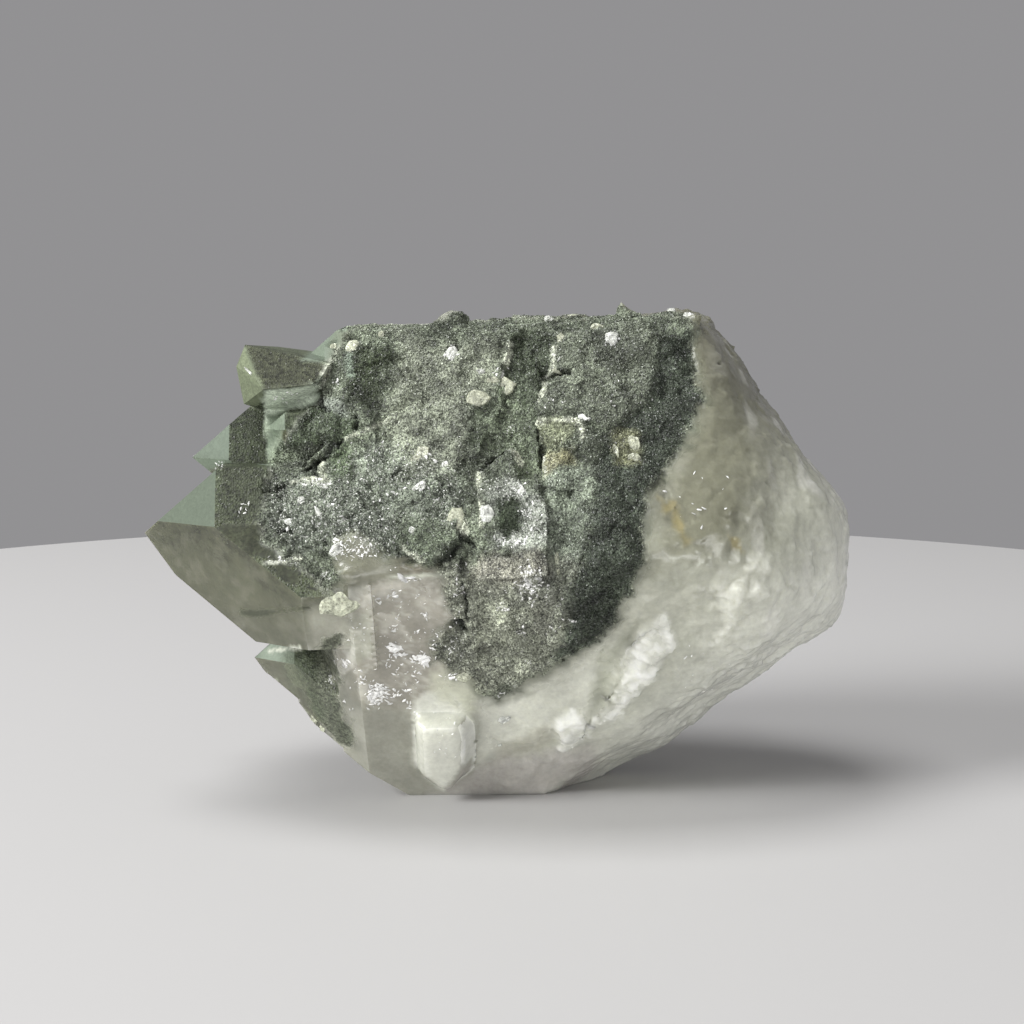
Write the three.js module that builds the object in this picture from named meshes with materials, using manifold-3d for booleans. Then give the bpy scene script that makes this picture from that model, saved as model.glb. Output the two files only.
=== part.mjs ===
// Chlorite quartz: one thick quartz crystal lying on its side, about 80 mm long.
//
// The left end is a cathedral termination, many tips grown in parallel, so every tip
// has the same face directions. The front carries a lumpy crust of chlorite, and the
// right end and underside are broken milky quartz. It all grew as one piece, so it is
// one solid.
//
// Millimetres, +Z up, +X away from the tips, -Y towards the crusted front.
// The origin ends up under the middle of the bounding box, on the resting face.
import * as THREE from "three";
import { ConvexGeometry } from "three/addons/geometries/ConvexGeometry.js";
import { ImprovedNoise } from "three/addons/math/ImprovedNoise.js";
import { mergeVertices } from "three/addons/utils/BufferGeometryUtils.js";
import Module from "manifold-3d";

const wasm = await Module();
wasm.setup();

// ---- Driving dimensions -------------------------------------------------------------

const DIP_DEG = 2.5; // the crystal's long axis dips this much towards the tips
const PYRAMID_DEG = 38.2; // quartz: a tip face leans this far from the long axis

const MIDDLE = { x: 2, y: 0, z: 28 }; // centre of the broken rock
const FRONT_DEPTH = 24.5; // rock from its middle to the front
const BACK_DEPTH = 19.5; // rock from its middle to the back
const ROUNDNESS = 2.4; // exponent of the rock's rounded section
const ROCK_DETAIL = 19; // subdivisions of the rock's surface
const TUCK = 0.2; // the rock lies this far under the flat faces laid over it
const TRUNK_START = 17; // the tips cover the trunk's left end, this far left
const CLEAN_END = 5; // the crystal keeps its flat faces to the left of this x
const BROKEN_FROM = 0; // the rock starts to look broken at this x
const BROKEN_FULLY = 14; // and is broken all over from this x on
const PRISM_LEAN = Math.tan(THREE.MathUtils.degToRad(30)); // prism faces lean 30 degrees

const FRONT_EDGE = { y: -24, z: 28 }; // level of the upper front prism face
const BASE_EDGE = [-4, -6.8, 0]; // where the lower front prism face meets the ground
const BACK_EDGE = { y: 19.8, z: 29 }; // level of the two back prism faces
const TOP_AT = [-17.9, 0, 52.6]; // a point of the long flat top face
const STEP_START = [-15.5, -17.1, 40]; // where the trunk's own tip faces begin: upper front,
const LOW_STEP_START = [-14.5, -17, 17]; // lower front,
const BACK_STEP_START = [-18, 13, 40]; // upper back
const LOW_BACK_STEP_START = [-16, 13, 18]; // and lower back
const CRUST_RISE = 0.3; // how far the crust stands above the flat top
const REST_CORNER = [-9.64, 0, 0]; // left end of the resting face

// Hackly fracture of the broken quartz.
const LEDGE_PITCH = 6.5; // from one ledge to the next
const LEDGE_RISE = 0.9;
const LEDGE_WANDER = 5; // how far a ledge strays from straight
const SWELL = { across: 11, rise: 1.2 }; // broad swells
const CHIP = { across: 4.2, rise: 0.7 }; // small chips

// What stands on the crust and the back: how many, and the seed of their places.
const PLATES = { count: 38, seed: 5, least: 2.4, most: 5.4, tall: 1.35 };
const LUMPS = { count: 34, seed: 17, least: 1.4, most: 3.2 };
const CRUMBS = { count: 22, seed: 11, least: 0.4, most: 1.2 };
const BACK_LUMPS = { count: 22, seed: 29, least: 1.2, most: 4.4 };
const PLATE_AREA = { x: [-19, 22], z: [14, 53] };
const CRUMB_AREA = { x: [-20, 22], z: [14, 53] };
const BACK_AREA = { x: [-14, 18], z: [12, 48] };

// The rock's outline, looking along +Y: x and z of each corner.
const OUTLINE = [
  [40.4, 31.8], [40.73, 26.4], [40.4, 20.2], [36.6, 16.9], [33.2, 14.6], [29.2, 10.8],
  [23.8, 7.0], [17.0, 0.4], [6, -7], [-8, -7], [-15, 3], [-19, 14], [-22, 26],
  [-22, 34], [-19, 44], [-15, 54], [-4, 62], [12, 62], [22.4, 57], [27.2, 50.4],
  [31.2, 45.0], [34.8, 40.2],
];

// ---- Solids -------------------------------------------------------------------------

const vec = (p) => new THREE.Vector3(...p);
const radians = THREE.MathUtils.degToRad;
const between = ([low, high], share) => THREE.MathUtils.lerp(low, high, share);
const noise = new ImprovedNoise();
const PARALLEL = 1e-6; // planes this close to parallel don't meet
const ON_PLANE = 1e-5; // a point this far outside a plane still counts as on it
const SAME_POINT = 1e-3; // corners this close are one corner
const WELD = 1e-4; // vertices this close are one vertex

// A repeatable stream of numbers from 0 to 1.
function stream(seed) {
  let state = seed;
  return () => {
    state = (state * 1664525 + 1013904223) % 4294967296;
    return state / 4294967296;
  };
}

// The same shape with one vertex at each corner.
function joined(geometry) {
  const bare = new THREE.BufferGeometry();
  bare.setAttribute("position", geometry.getAttribute("position"));
  if (geometry.index) bare.setIndex(geometry.index);
  return mergeVertices(bare, WELD);
}

function toSolid(geometry) {
  const merged = joined(geometry);
  return new wasm.Manifold(
    new wasm.Mesh({
      numProp: 3,
      vertProperties: merged.attributes.position.array,
      triVerts: new Uint32Array(merged.index.array),
    }),
  );
}

const hull = (points) => toSolid(new ConvexGeometry(points.map(vec)));

// Where three planes meet, or null where they have no single point in common.
function meeting(a, b, c) {
  const bc = b.normal.clone().cross(c.normal);
  const det = a.normal.dot(bc);
  if (Math.abs(det) < PARALLEL) return null;
  return bc
    .multiplyScalar(a.offset)
    .addScaledVector(c.normal.clone().cross(a.normal), b.offset)
    .addScaledVector(a.normal.clone().cross(b.normal), c.offset)
    .divideScalar(det);
}

// The solid inside every plane of a list of { normal, offset }.
function insidePlanes(planes) {
  const corners = [];
  for (let i = 0; i < planes.length; i++)
    for (let j = i + 1; j < planes.length; j++)
      for (let k = j + 1; k < planes.length; k++) {
        const corner = meeting(planes[i], planes[j], planes[k]);
        if (!corner) continue;
        const inside = planes.every((p) => p.normal.dot(corner) < p.offset + ON_PLANE);
        const known = corners.some((q) => q.distanceTo(corner) < SAME_POINT);
        if (inside && !known) corners.push(corner);
      }
  return toSolid(new ConvexGeometry(corners));
}

const planeThrough = (normal, point) => ({ normal, offset: normal.dot(vec(point)) });

// ---- Quartz -------------------------------------------------------------------------

// A crystal's own directions: along points to its tip, front and up lie across it.
function directions(along, front) {
  const a = along.clone().normalize();
  const up = a.clone().cross(front).normalize();
  return { along: a, up, front: up.clone().cross(a) };
}

const PARENT = directions(
  new THREE.Vector3(-Math.cos(radians(DIP_DEG)), 0, -Math.sin(radians(DIP_DEG))),
  new THREE.Vector3(0, -1, 0),
);

// The directions of a crystal's six sides: 0 faces the front, 90 faces up.
const AZIMUTHS = [90, 30, -30, -90, -150, 150];

function prismNormal(axes, azimuth) {
  return axes.front
    .clone()
    .multiplyScalar(Math.cos(radians(azimuth)))
    .addScaledVector(axes.up, Math.sin(radians(azimuth)));
}

function tipNormal(axes, azimuth) {
  return prismNormal(axes, azimuth)
    .multiplyScalar(Math.cos(radians(PYRAMID_DEG)))
    .addScaledVector(axes.along, Math.sin(radians(PYRAMID_DEG)));
}

// One six-sided crystal. widths gives how far each side stands from the axis, in the
// order of AZIMUTHS, and blunt how far a tip face stands beyond the tip.
function crystalPlanes({ tip, widths, length, blunt = {}, axes = PARENT }) {
  const at = vec(tip);
  const planes = [];
  AZIMUTHS.forEach((azimuth, i) => {
    const side = prismNormal(axes, azimuth);
    const slope = tipNormal(axes, azimuth);
    planes.push({ normal: side, offset: side.dot(at) + widths[i] });
    planes.push({ normal: slope, offset: slope.dot(at) + (blunt[azimuth] ?? 0) });
  });
  const back = axes.along.clone().negate();
  planes.push({ normal: back, offset: back.dot(at) + length });
  return planes;
}

const crystal = (shape) => insidePlanes(crystalPlanes(shape));

// ---- The broken rock ----------------------------------------------------------------

// Each corner of the outline, seen from the middle.
const OUTLINE_FROM_MIDDLE = OUTLINE.map(([x, z]) => ({
  angle: Math.atan2(z - MIDDLE.z, x - MIDDLE.x),
  reach: Math.hypot(x - MIDDLE.x, z - MIDDLE.z),
})).sort((a, b) => a.angle - b.angle);

const MIDDLE_POINT = vec([MIDDLE.x, MIDDLE.y, MIDDLE.z]);

// The break that lifts the right end off the ground.
const UNDERCUT = {
  normal: new THREE.Vector3(0.47, -0.43, -0.77).normalize(),
  at: new THREE.Vector3(17.4, 5.8, 0),
};

// How far the outline is from the middle in one direction.
function outlineReach(angle) {
  const turn = 2 * Math.PI;
  const corners = OUTLINE_FROM_MIDDLE;
  for (let i = 0; i < corners.length; i++) {
    const from = corners[i];
    const to = corners[(i + 1) % corners.length];
    const span = (to.angle - from.angle + turn) % turn;
    const passed = (angle - from.angle + turn) % turn;
    if (passed <= span) return THREE.MathUtils.lerp(from.reach, to.reach, passed / span);
  }
  return corners[0].reach;
}

// The flat sides that the rock still has: the parent crystal's prism and tip faces.
function trunkPlanes() {
  const side = (azimuth, point) => planeThrough(prismNormal(PARENT, azimuth), point);
  const slope = (azimuth, point) => planeThrough(tipNormal(PARENT, azimuth), point);
  return [
    side(90, TOP_AT),
    side(30, [0, FRONT_EDGE.y, FRONT_EDGE.z]),
    side(-30, BASE_EDGE),
    side(150, [0, BACK_EDGE.y, BACK_EDGE.z]),
    side(-150, [0, BACK_EDGE.y, BACK_EDGE.z]),
    slope(90, TOP_AT),
    slope(30, STEP_START),
    slope(-30, LOW_STEP_START),
    slope(150, BACK_STEP_START),
    slope(-150, LOW_BACK_STEP_START),
    slope(-90, REST_CORNER),
    { normal: UNDERCUT.normal, offset: UNDERCUT.normal.dot(UNDERCUT.at) },
  ];
}

// How far the rock reaches from its middle in a direction, before it is roughened.
function rockReach(u, planes) {
  const outline = outlineReach(Math.atan2(u.z, u.x));
  const depth = u.y < 0 ? FRONT_DEPTH : BACK_DEPTH;
  const across = Math.hypot(u.x, u.z) / outline;
  const deep = Math.abs(u.y) / depth;
  const round = (across ** ROUNDNESS + deep ** ROUNDNESS) ** (-1 / ROUNDNESS);
  return planes.reduce((nearest, { normal, offset }) => {
    const facing = normal.dot(u);
    const room = offset - normal.dot(MIDDLE_POINT);
    return facing > 0 ? Math.min(nearest, room / facing) : nearest;
  }, round);
}

// Hackly fracture: ledges that run up to the right, on broad swells and small chips.
// It fades out towards the clean faces of the tips.
function fracture({ x, y, z }) {
  const swells = (across, start) => noise.noise(x / across + start, y / across, z / across);
  const broken = THREE.MathUtils.smoothstep(x, BROKEN_FROM, BROKEN_FULLY);
  const warp = LEDGE_WANDER * swells(12, 0);
  const ledge = (0.72 * x - 0.5 * z - 0.45 * y + warp) / LEDGE_PITCH;
  const saw = ledge - Math.floor(ledge);
  const broad = SWELL.rise * swells(SWELL.across, 7);
  const small = CHIP.rise * swells(CHIP.across, 3);
  return broken * (LEDGE_RISE * (0.5 - saw) + broad + small - 0.1) - TUCK;
}

function rock(planes) {
  const ball = joined(new THREE.IcosahedronGeometry(1, ROCK_DETAIL));
  const place = ball.getAttribute("position");
  for (let i = 0; i < place.count; i++) {
    const u = new THREE.Vector3().fromBufferAttribute(place, i).normalize();
    const point = MIDDLE_POINT.clone().addScaledVector(u, rockReach(u, planes));
    point.addScaledVector(u, fracture(point));
    place.setXYZ(i, point.x, point.y, point.z);
  }
  return toSolid(ball);
}

// The clean part of the trunk, with true flat faces and sharp edges.
function trunk(planes) {
  const start = { normal: new THREE.Vector3(-1, 0, 0), offset: TRUNK_START };
  const end = { normal: new THREE.Vector3(1, 0.1, -0.3).normalize(), offset: CLEAN_END };
  const ground = { normal: new THREE.Vector3(0, 0, -1), offset: 0 };
  return insidePlanes([...planes, start, end, ground]);
}

// ---- The tips at the left end -------------------------------------------------------

// Widths are up, upper front, lower front, down, lower back, upper back.
const TIPS = [
  // the high tip, whose top runs on as the flat top of the whole crystal
  { tip: [-33.8, -5, 38.5], widths: [13.4, 3.7, 4.2, 5, 10, 13], length: 26 },
  // the leading tip, the furthest left, with the large lower front face
  {
    tip: [-38.8, -8, 30.4], widths: [7.5, 9, 14.6, 12, 15, 14], length: 34,
    blunt: { 30: 1.3, "-90": 1.9 },
  },
  // two low tips, one above the other, that reach down to the ground
  {
    tip: [-27.4, -4, 15.4], widths: [2.2, 4.0, 10.4, 9, 9, 8], length: 24,
    blunt: { "-90": 0.6 },
  },
  {
    tip: [-23.3, -5, 11.8], widths: [3, 5, 7.8, 14, 10, 8], length: 22,
    blunt: { "-90": 1.6 },
  },
  // the shoulder that carries the flat top
  { tip: [-22.5, -4, 48.3], widths: [4.2, 5.1, 7, 8, 8, 8], length: 14 },
  // the pale recess below it
  { tip: [-26.4, -3.7, 44.4], widths: [3.4, 6, 14, 8, 6, 6], length: 14 },
  // four small steps between the recess and the crust
  { tip: [-24.8, -10.3, 42.2], widths: [1.7, 1.8, 3.8, 3, 6, 6], length: 9 },
  { tip: [-19.5, -14.0, 42.3], widths: [1.3, 1.5, 2.7, 4, 6, 6], length: 7 },
  { tip: [-19.7, -15.6, 38.9], widths: [2.0, 1.8, 3.5, 3, 6, 6], length: 8 },
  { tip: [-27.3, -10.9, 37.1], widths: [1.4, 2.4, 4.6, 4, 6, 6], length: 14 },
  // tips behind, turned from the front
  { tip: [-35.5, 5, 26.5], widths: [6, 5, 6, 6, 10, 8], length: 24 },
  { tip: [-31.5, 9, 35.5], widths: [5, 4, 5, 5, 6, 5.0], length: 22 },
  { tip: [-26, 9, 16.5], widths: [6, 6, 6, 6, 3.2, 6], length: 22 },
  { tip: [-23, 9, 44], widths: [4, 5, 6, 6, 4, 1.4], length: 16 },
];

// The dark block that sits askew on the high tip: corners of its front and its back.
const ASKEW_BLOCK = [
  [-27.1, -9, 51.3], [-20.8, -9.6, 49.8], [-17.6, -12, 49.5], [-18.8, -13.5, 47.4],
  [-24.7, -13.2, 46.7], [-25.4, -12.4, 47.6], [-28.1, -9, 48.9], [-27.4, -8.6, 44.8],
  [-25.4, -8.8, 44.2], [-24.5, 0, 50.6], [-16, 0, 49.5], [-24.5, 0, 44], [-16, 0, 44],
];

// The stubby milky point that hangs down the lower front, one broad face to the front.
const HANGING_POINT = {
  tip: [-5.3, -8.5, 1.0],
  widths: [2.8, 1.5, 2.8, 2.8, 2.0, 2.8],
  length: 11.4,
  axes: directions(new THREE.Vector3(0.03, 0.5, -0.86), new THREE.Vector3(0.5, -0.75, -0.43)),
};

// ---- What stands on the front -------------------------------------------------------

// Where a line along +Y at x and z enters a solid given by its planes.
function entryY(planes, x, z) {
  let entry = -Infinity;
  let exit = Infinity;
  for (const { normal, offset } of planes) {
    const room = offset - normal.x * x - normal.z * z;
    if (Math.abs(normal.y) < PARALLEL) {
      if (room < 0) return Infinity;
    } else if (normal.y < 0) {
      entry = Math.max(entry, room / normal.y);
    } else {
      exit = Math.min(exit, room / normal.y);
    }
  }
  return entry < exit ? entry : Infinity;
}

const TRUNK_PLANES = trunkPlanes();
const TIP_PLANES = TIPS.map(crystalPlanes);

// Where the front surface lies, as a y, for a place given by x and z.
function frontY(x, z) {
  const away = Math.hypot(x - MIDDLE.x, z - MIDDLE.z);
  const share = away / outlineReach(Math.atan2(z - MIDDLE.z, x - MIDDLE.x));
  const round = share < 1 ? -FRONT_DEPTH * (1 - share ** ROUNDNESS) ** (1 / ROUNDNESS) : 0;
  const trunkY = Math.max(entryY(TRUNK_PLANES, x, z), x > CLEAN_END ? round : -Infinity);
  const nearest = Math.min(trunkY, ...TIP_PLANES.map((planes) => entryY(planes, x, z)));
  return nearest < 0 ? nearest : 0;
}

const SLAB_FLARE = 0.06; // a slab's root is this much wider than its face
const CRUST_ROOT = 3; // how deep a slab of crust is rooted
const LEDGE_ROOT = 2; // how deep a ledge of quartz is rooted

// A slab that stands on the front surface. Each corner is x, z and how far it is proud.
function slab(corners, rooted) {
  const face = corners.map(([x, z, proud]) => [x, frontY(x, z) - proud, z]);
  const cx = corners.reduce((sum, c) => sum + c[0], 0) / corners.length;
  const cz = corners.reduce((sum, c) => sum + c[1], 0) / corners.length;
  const root = corners.map(([x, z]) => {
    const outX = x + SLAB_FLARE * (x - cx);
    const outZ = z + SLAB_FLARE * (z - cz);
    return [outX, frontY(outX, outZ) + rooted, outZ];
  });
  return hull([...face, ...root]);
}

const CRUST_SLABS = [
  // upper left field of the crust
  [[-11.5, 51.5, 0.2], [0.5, 53, 0.6], [1.2, 45, 1.3],
    [-2.6, 38.5, 1.0], [-10, 40.5, 0.5], [-12.5, 46.5, 0.3]],
  // the sharp-edged plate right of the cleft
  [[5.0, 44.8, 1.9], [7.4, 48.6, 1.2], [11.8, 48.6, 1.0],
    [11.6, 38.6, 1.4], [9.2, 36.8, 1.6], [6.2, 37.4, 2.3]],
  // upper right field
  [[7.6, 53, 0.8], [21, 53.5, 0.2], [22.2, 45.5, 0.2],
    [17.4, 37.5, 0.5], [11.6, 38.8, 1.2], [7.2, 49, 1.2]],
  // the block with the pit
  [[-1.2, 39.5, 1.2], [0.8, 41.2, 1.2], [3.0, 40.6, 1.5],
    [5.4, 35.4, 2.2], [5.6, 28.6, 2.2], [-1.3, 28, 1.5]],
  // the lumpy column at the left of it
  [[-4.8, 29.4, 0.7], [-1.8, 31.0, 1.6], [-1.5, 24.6, 1.8],
    [-1.8, 18.0, 1.0], [-4.0, 19, 0.6], [-4.9, 25, 0.9]],
  // the lower apron
  [[-1.4, 26.5, 0.8], [5.5, 27.8, 1.7], [7.3, 20.4, 1.2],
    [5.6, 16.9, 0.3], [-1.6, 14.2, 0.3], [-3.0, 19.4, 0.6]],
  // the long ridge that turns the front to the right
  [[8.6, 37.0, 1.8], [12.4, 40.5, 1.9], [16.6, 38.4, 0.4], [15.7, 30.0, 0.0], [12.4, 23.2, 0.0],
    [7.0, 18.2, 0.3], [6.0, 22.5, 1.7], [11.2, 30.5, 2.3]],
  // rough steps between the crust and the leading tip
  [[-24.0, 35.6, 0.2], [-17, 37.4, 0.7], [-10.2, 36.4, 0.9],
    [-9.8, 31, 1.3], [-16.8, 30.2, 1.1], [-21.5, 31, 0.7]],
  [[-12.4, 38.6, 0.6], [-4.6, 37.2, 1.2], [-4.0, 30.2, 1.3], [-10.8, 29.6, 0.9]],
];

// Ledges of broken quartz. The first corners are the high edge, the rest run out flush.
const MILKY_LEDGES = [
  // the snowy ledge of the lower right
  [[10.6, 8.9, 0.9], [12.4, 13.4, 1.2], [14.8, 18.6, 1.1], [17.6, 22.4, 0.8],
    [20.0, 20.8, -0.5], [17.8, 12.8, -0.6], [13.5, 7.2, -0.4]],
  // the glassy chip beside it
  [[6.4, 10.4, 0.7], [8.6, 12.4, 1.0], [10.2, 10.4, 0.5], [9.2, 8.0, 0.1], [6.8, 7.2, 0.4]],
  // a band between the hanging point and the chip
  [[0.5, 11.4, 0.3], [4.4, 13.0, 0.8], [6.2, 12.0, 0.4], [2.4, 6.4, -0.2]],
  // edge of the clear window
  [[-16.2, 27.6, 0.3], [-12.6, 27.2, 0.7], [-12.4, 17.0, 0.5], [-15.6, 16.0, 0.0]],
];

// Small tips that stand on the top edge: the tip, its thickness and its lean.
const TOP_KNOBS = [
  { tip: [14.0, -7.0, 56.0], thick: 1.7, lean: [-0.25, -0.1, 1], length: 6 },
  { tip: [20.6, -6.5, 54.9], thick: 0.9, lean: [0.2, -0.3, 1], length: 4 },
  { tip: [6.0, -7.5, 54.5], thick: 0.8, lean: [-0.1, -0.5, 1], length: 3 },
];

// How far each of a knob's sides stands out, as a share of its thickness.
const KNOB_SIDES = [0.85, 1.05, 0.95, 0.85, 1.05, 0.95];

// The rounded knob on the top edge, left of the others.
const DOME = { at: [-4.5, -7.4, 53.0], radius: 2.0 };

function dome() {
  const ball = new THREE.IcosahedronGeometry(DOME.radius, 1);
  ball.translate(...DOME.at);
  return toSolid(ball);
}

function knob({ tip, thick, lean, length }) {
  const widths = KNOB_SIDES.map((share) => thick * share);
  const axes = directions(vec(lean), new THREE.Vector3(0.3, -1, 0));
  return crystal({ tip, widths, length, axes });
}

// The crust's own outline on the front: x and z.
const CRUST_OUTLINE = [
  [-14.5, 51.5], [-10, 52.5], [21, 53.5], [23, 46], [20.5, 42], [17, 36.5],
  [15.5, 29.5], [12.5, 23], [5.5, 16.8], [-1.5, 13.5], [-4, 20], [-5, 28],
  [-12.5, 29], [-17, 27], [-22, 31], [-22, 37], [-15.5, 40],
];

function onCrust(x, z) {
  let inside = false;
  CRUST_OUTLINE.forEach(([ax, az], i) => {
    const [bx, bz] = CRUST_OUTLINE[(i + 1) % CRUST_OUTLINE.length];
    if (az > z !== bz > z && x < ax + ((bx - ax) * (z - az)) / (bz - az)) inside = !inside;
  });
  return inside;
}

// Tilted plates that break up the whole crust. Each is high on one side and runs out
// flush on the other.
function plates() {
  const next = stream(PLATES.seed);
  const made = [];
  while (made.length < PLATES.count) {
    const x = between(PLATE_AREA.x, next());
    const z = between(PLATE_AREA.z, next());
    if (!onCrust(x, z)) continue;
    const size = between([PLATES.least, PLATES.most], next());
    const sides = 4 + Math.floor(2.5 * next());
    const start = 2 * Math.PI * next();
    const high = 2 * Math.PI * next();
    const rise = between([0.2, 0.7], next());
    const middle = between([0.2, 0.9], next());
    const corners = Array.from({ length: sides }, (_, i) => {
      const turn = start + (2 * Math.PI * (i + 0.5 * next())) / sides;
      const proud = middle + rise * Math.cos(turn - high);
      return [x + size * Math.cos(turn), z + PLATES.tall * size * Math.sin(turn), proud];
    });
    made.push(slab(corners, CRUST_ROOT));
  }
  return made;
}

// Low rounded lumps of chlorite, half sunk in the crust.
function lumps() {
  const next = stream(LUMPS.seed);
  const made = [];
  while (made.length < LUMPS.count) {
    const x = between(PLATE_AREA.x, next());
    const z = between(PLATE_AREA.z, next());
    if (!onCrust(x, z)) continue;
    const size = between([LUMPS.least, LUMPS.most], next() ** 2);
    const sunk = 0.7 - 0.3 * size;
    const lump = new THREE.IcosahedronGeometry(size, 0);
    lump.rotateX(6 * next()).rotateY(6 * next()).rotateZ(6 * next());
    lump.scale(between([1, 1.5], next()), 0.5, between([1, 1.7], next()));
    lump.rotateX(0.5 * (next() - 0.5));
    lump.translate(x, frontY(x, z) - sunk, z);
    made.push(toSolid(lump));
  }
  return made;
}

// How far each side of a small crystal stands from its axis, all a little different.
const unevenWidths = (size, next) => AZIMUTHS.map(() => size * between([0.6, 1.3], next()));

// Crumbs of quartz and chlorite stuck all over the crust, each a small tilted crystal.
function crumbs() {
  const next = stream(CRUMBS.seed);
  const made = [];
  while (made.length < CRUMBS.count) {
    const x = between(CRUMB_AREA.x, next());
    const z = between(CRUMB_AREA.z, next());
    const size = between([CRUMBS.least, CRUMBS.most], next() ** 2);
    const lean = new THREE.Vector3(next() - 0.5, -0.6 - next(), next() - 0.5);
    const axes = directions(lean, new THREE.Vector3(next() - 0.5, 0, 1));
    const widths = unevenWidths(size, next);
    const tip = [x, frontY(x, z) - 0.8 - 0.5 * size, z];
    if (onCrust(x, z)) made.push(crystal({ tip, widths, length: 2.5 + size, axes }));
  }
  return made;
}

// Lumps over the back, which is crusted too: small crystals that point backwards.
function backLumps() {
  const next = stream(BACK_LUMPS.seed);
  return Array.from({ length: BACK_LUMPS.count }, () => {
    const x = between(BACK_AREA.x, next());
    const z = between(BACK_AREA.z, next());
    const faceY = BACK_EDGE.y - Math.abs(z - BACK_EDGE.z) * PRISM_LEAN;
    const size = between([BACK_LUMPS.least, BACK_LUMPS.most], next() ** 2);
    const axes = directions(
      new THREE.Vector3(next() - 0.5, 0.9, 1.2 * (next() - 0.5)),
      new THREE.Vector3(next() - 0.5, 0, 1),
    );
    const widths = unevenWidths(size, next);
    const tip = [x, faceY + 0.9 + 0.25 * size, z];
    return crystal({ tip, widths, length: 4 + size, axes });
  });
}

// ---- Cuts ---------------------------------------------------------------------------

// The pit in the crust, and the clefts between its slabs.
const PIT = { at: [2.7, -22.8, 34.2], radii: [2.0, 2.6, 2.3] };
const CLEFTS = [
  { from: [3.2, 52], to: [3.9, 38], width: 2.2, depth: 0.9 },
  { from: [-3.1, 40.0], to: [-1.9, 35.2], width: 0.9, depth: 0.7 },
  { from: [-1.9, 35.8], to: [-2.7, 30.6], width: 1.0, depth: 0.9 },
  { from: [-2.7, 31.2], to: [-1.9, 26.4], width: 0.9, depth: 0.8 },
  { from: [-20.0, 38.2], to: [-15.5, 40.6], width: 0.6, depth: 1.2 },
  { from: [0.0, 41.4], to: [3.4, 42.2], width: 0.8, depth: 0.3 },
];

const CLEFT_MOUTH = 4; // a cleft has its full width this far in front of the surface

function pit() {
  const bowl = new THREE.IcosahedronGeometry(1, 1);
  bowl.rotateY(0.6).rotateX(0.4);
  bowl.scale(...PIT.radii);
  bowl.translate(...PIT.at);
  return toSolid(bowl);
}

// A V-shaped groove along a line on the front.
function cleft({ from, to, width, depth }) {
  const along = new THREE.Vector2(to[0] - from[0], to[1] - from[1]).normalize();
  const sideX = -along.y * width;
  const sideZ = along.x * width;
  const outer = [from, to].flatMap(([x, z]) => {
    const y = frontY(x, z) - CLEFT_MOUTH;
    return [[x + sideX, y, z + sideZ], [x - sideX, y, z - sideZ]];
  });
  const inner = [from, to].map(([x, z]) => [x, frontY(x, z) + depth, z]);
  return hull([...outer, ...inner]);
}

// ---- The whole crystal --------------------------------------------------------------

// The crust stops just above the flat top.
function underTop(solid) {
  const normal = prismNormal(PARENT, 90);
  const height = normal.dot(vec(TOP_AT)) + CRUST_RISE;
  return solid.trimByPlane(normal.negate().toArray(), -height);
}

function specimen() {
  const clad = [
    ...CRUST_SLABS.map((corners) => slab(corners, CRUST_ROOT)),
    ...plates(),
    ...lumps(),
    ...crumbs(),
    ...backLumps(),
  ];
  const added = [
    underTop(wasm.Manifold.union(clad)),
    ...TIPS.map(crystal),
    hull(ASKEW_BLOCK),
    crystal(HANGING_POINT),
    ...MILKY_LEDGES.map((corners) => slab(corners, LEDGE_ROOT)),
    ...TOP_KNOBS.map(knob),
    dome(),
  ];
  const cut = [pit(), ...CLEFTS.map(cleft)];
  let whole = rock(TRUNK_PLANES).add(trunk(TRUNK_PLANES));
  for (const piece of added) whole = whole.add(piece);
  for (const piece of cut) whole = whole.subtract(piece);
  const aboveGround = new THREE.BoxGeometry(200, 200, 100).translate(0, 0, 50);
  whole = whole.intersect(toSolid(aboveGround));
  return whole.decompose().sort((a, b) => b.volume() - a.volume())[0];
}

function toGeometry(solid) {
  const mesh = solid.getMesh();
  const places = new Float32Array(mesh.numVert * 3);
  for (let i = 0; i < mesh.numVert; i++)
    places.set(mesh.vertProperties.subarray(i * mesh.numProp, i * mesh.numProp + 3), i * 3);
  const geometry = new THREE.BufferGeometry();
  geometry.setAttribute("position", new THREE.BufferAttribute(places, 3));
  geometry.setIndex(new THREE.BufferAttribute(new Uint32Array(mesh.triVerts), 1));
  return geometry;
}

const geometry = toGeometry(specimen());
geometry.computeBoundingBox();
const { min, max } = geometry.boundingBox;
geometry.translate(-(min.x + max.x) / 2, -(min.y + max.y) / 2, -min.z);
geometry.computeVertexNormals();

const chloriteQuartz = new THREE.Mesh(
  geometry,
  new THREE.MeshStandardMaterial({
    color: 0x8f9886,
    roughness: 0.5,
    metalness: 0,
    flatShading: true,
  }),
);
chloriteQuartz.name = "chlorite_quartz";

const specimenGroup = new THREE.Group();
specimenGroup.add(chloriteQuartz);

export default specimenGroup;
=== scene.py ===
import itertools
import math

import bmesh
import bpy
import numpy as np
from mathutils import Matrix, Vector
from mathutils.bvhtree import BVHTree


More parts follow.
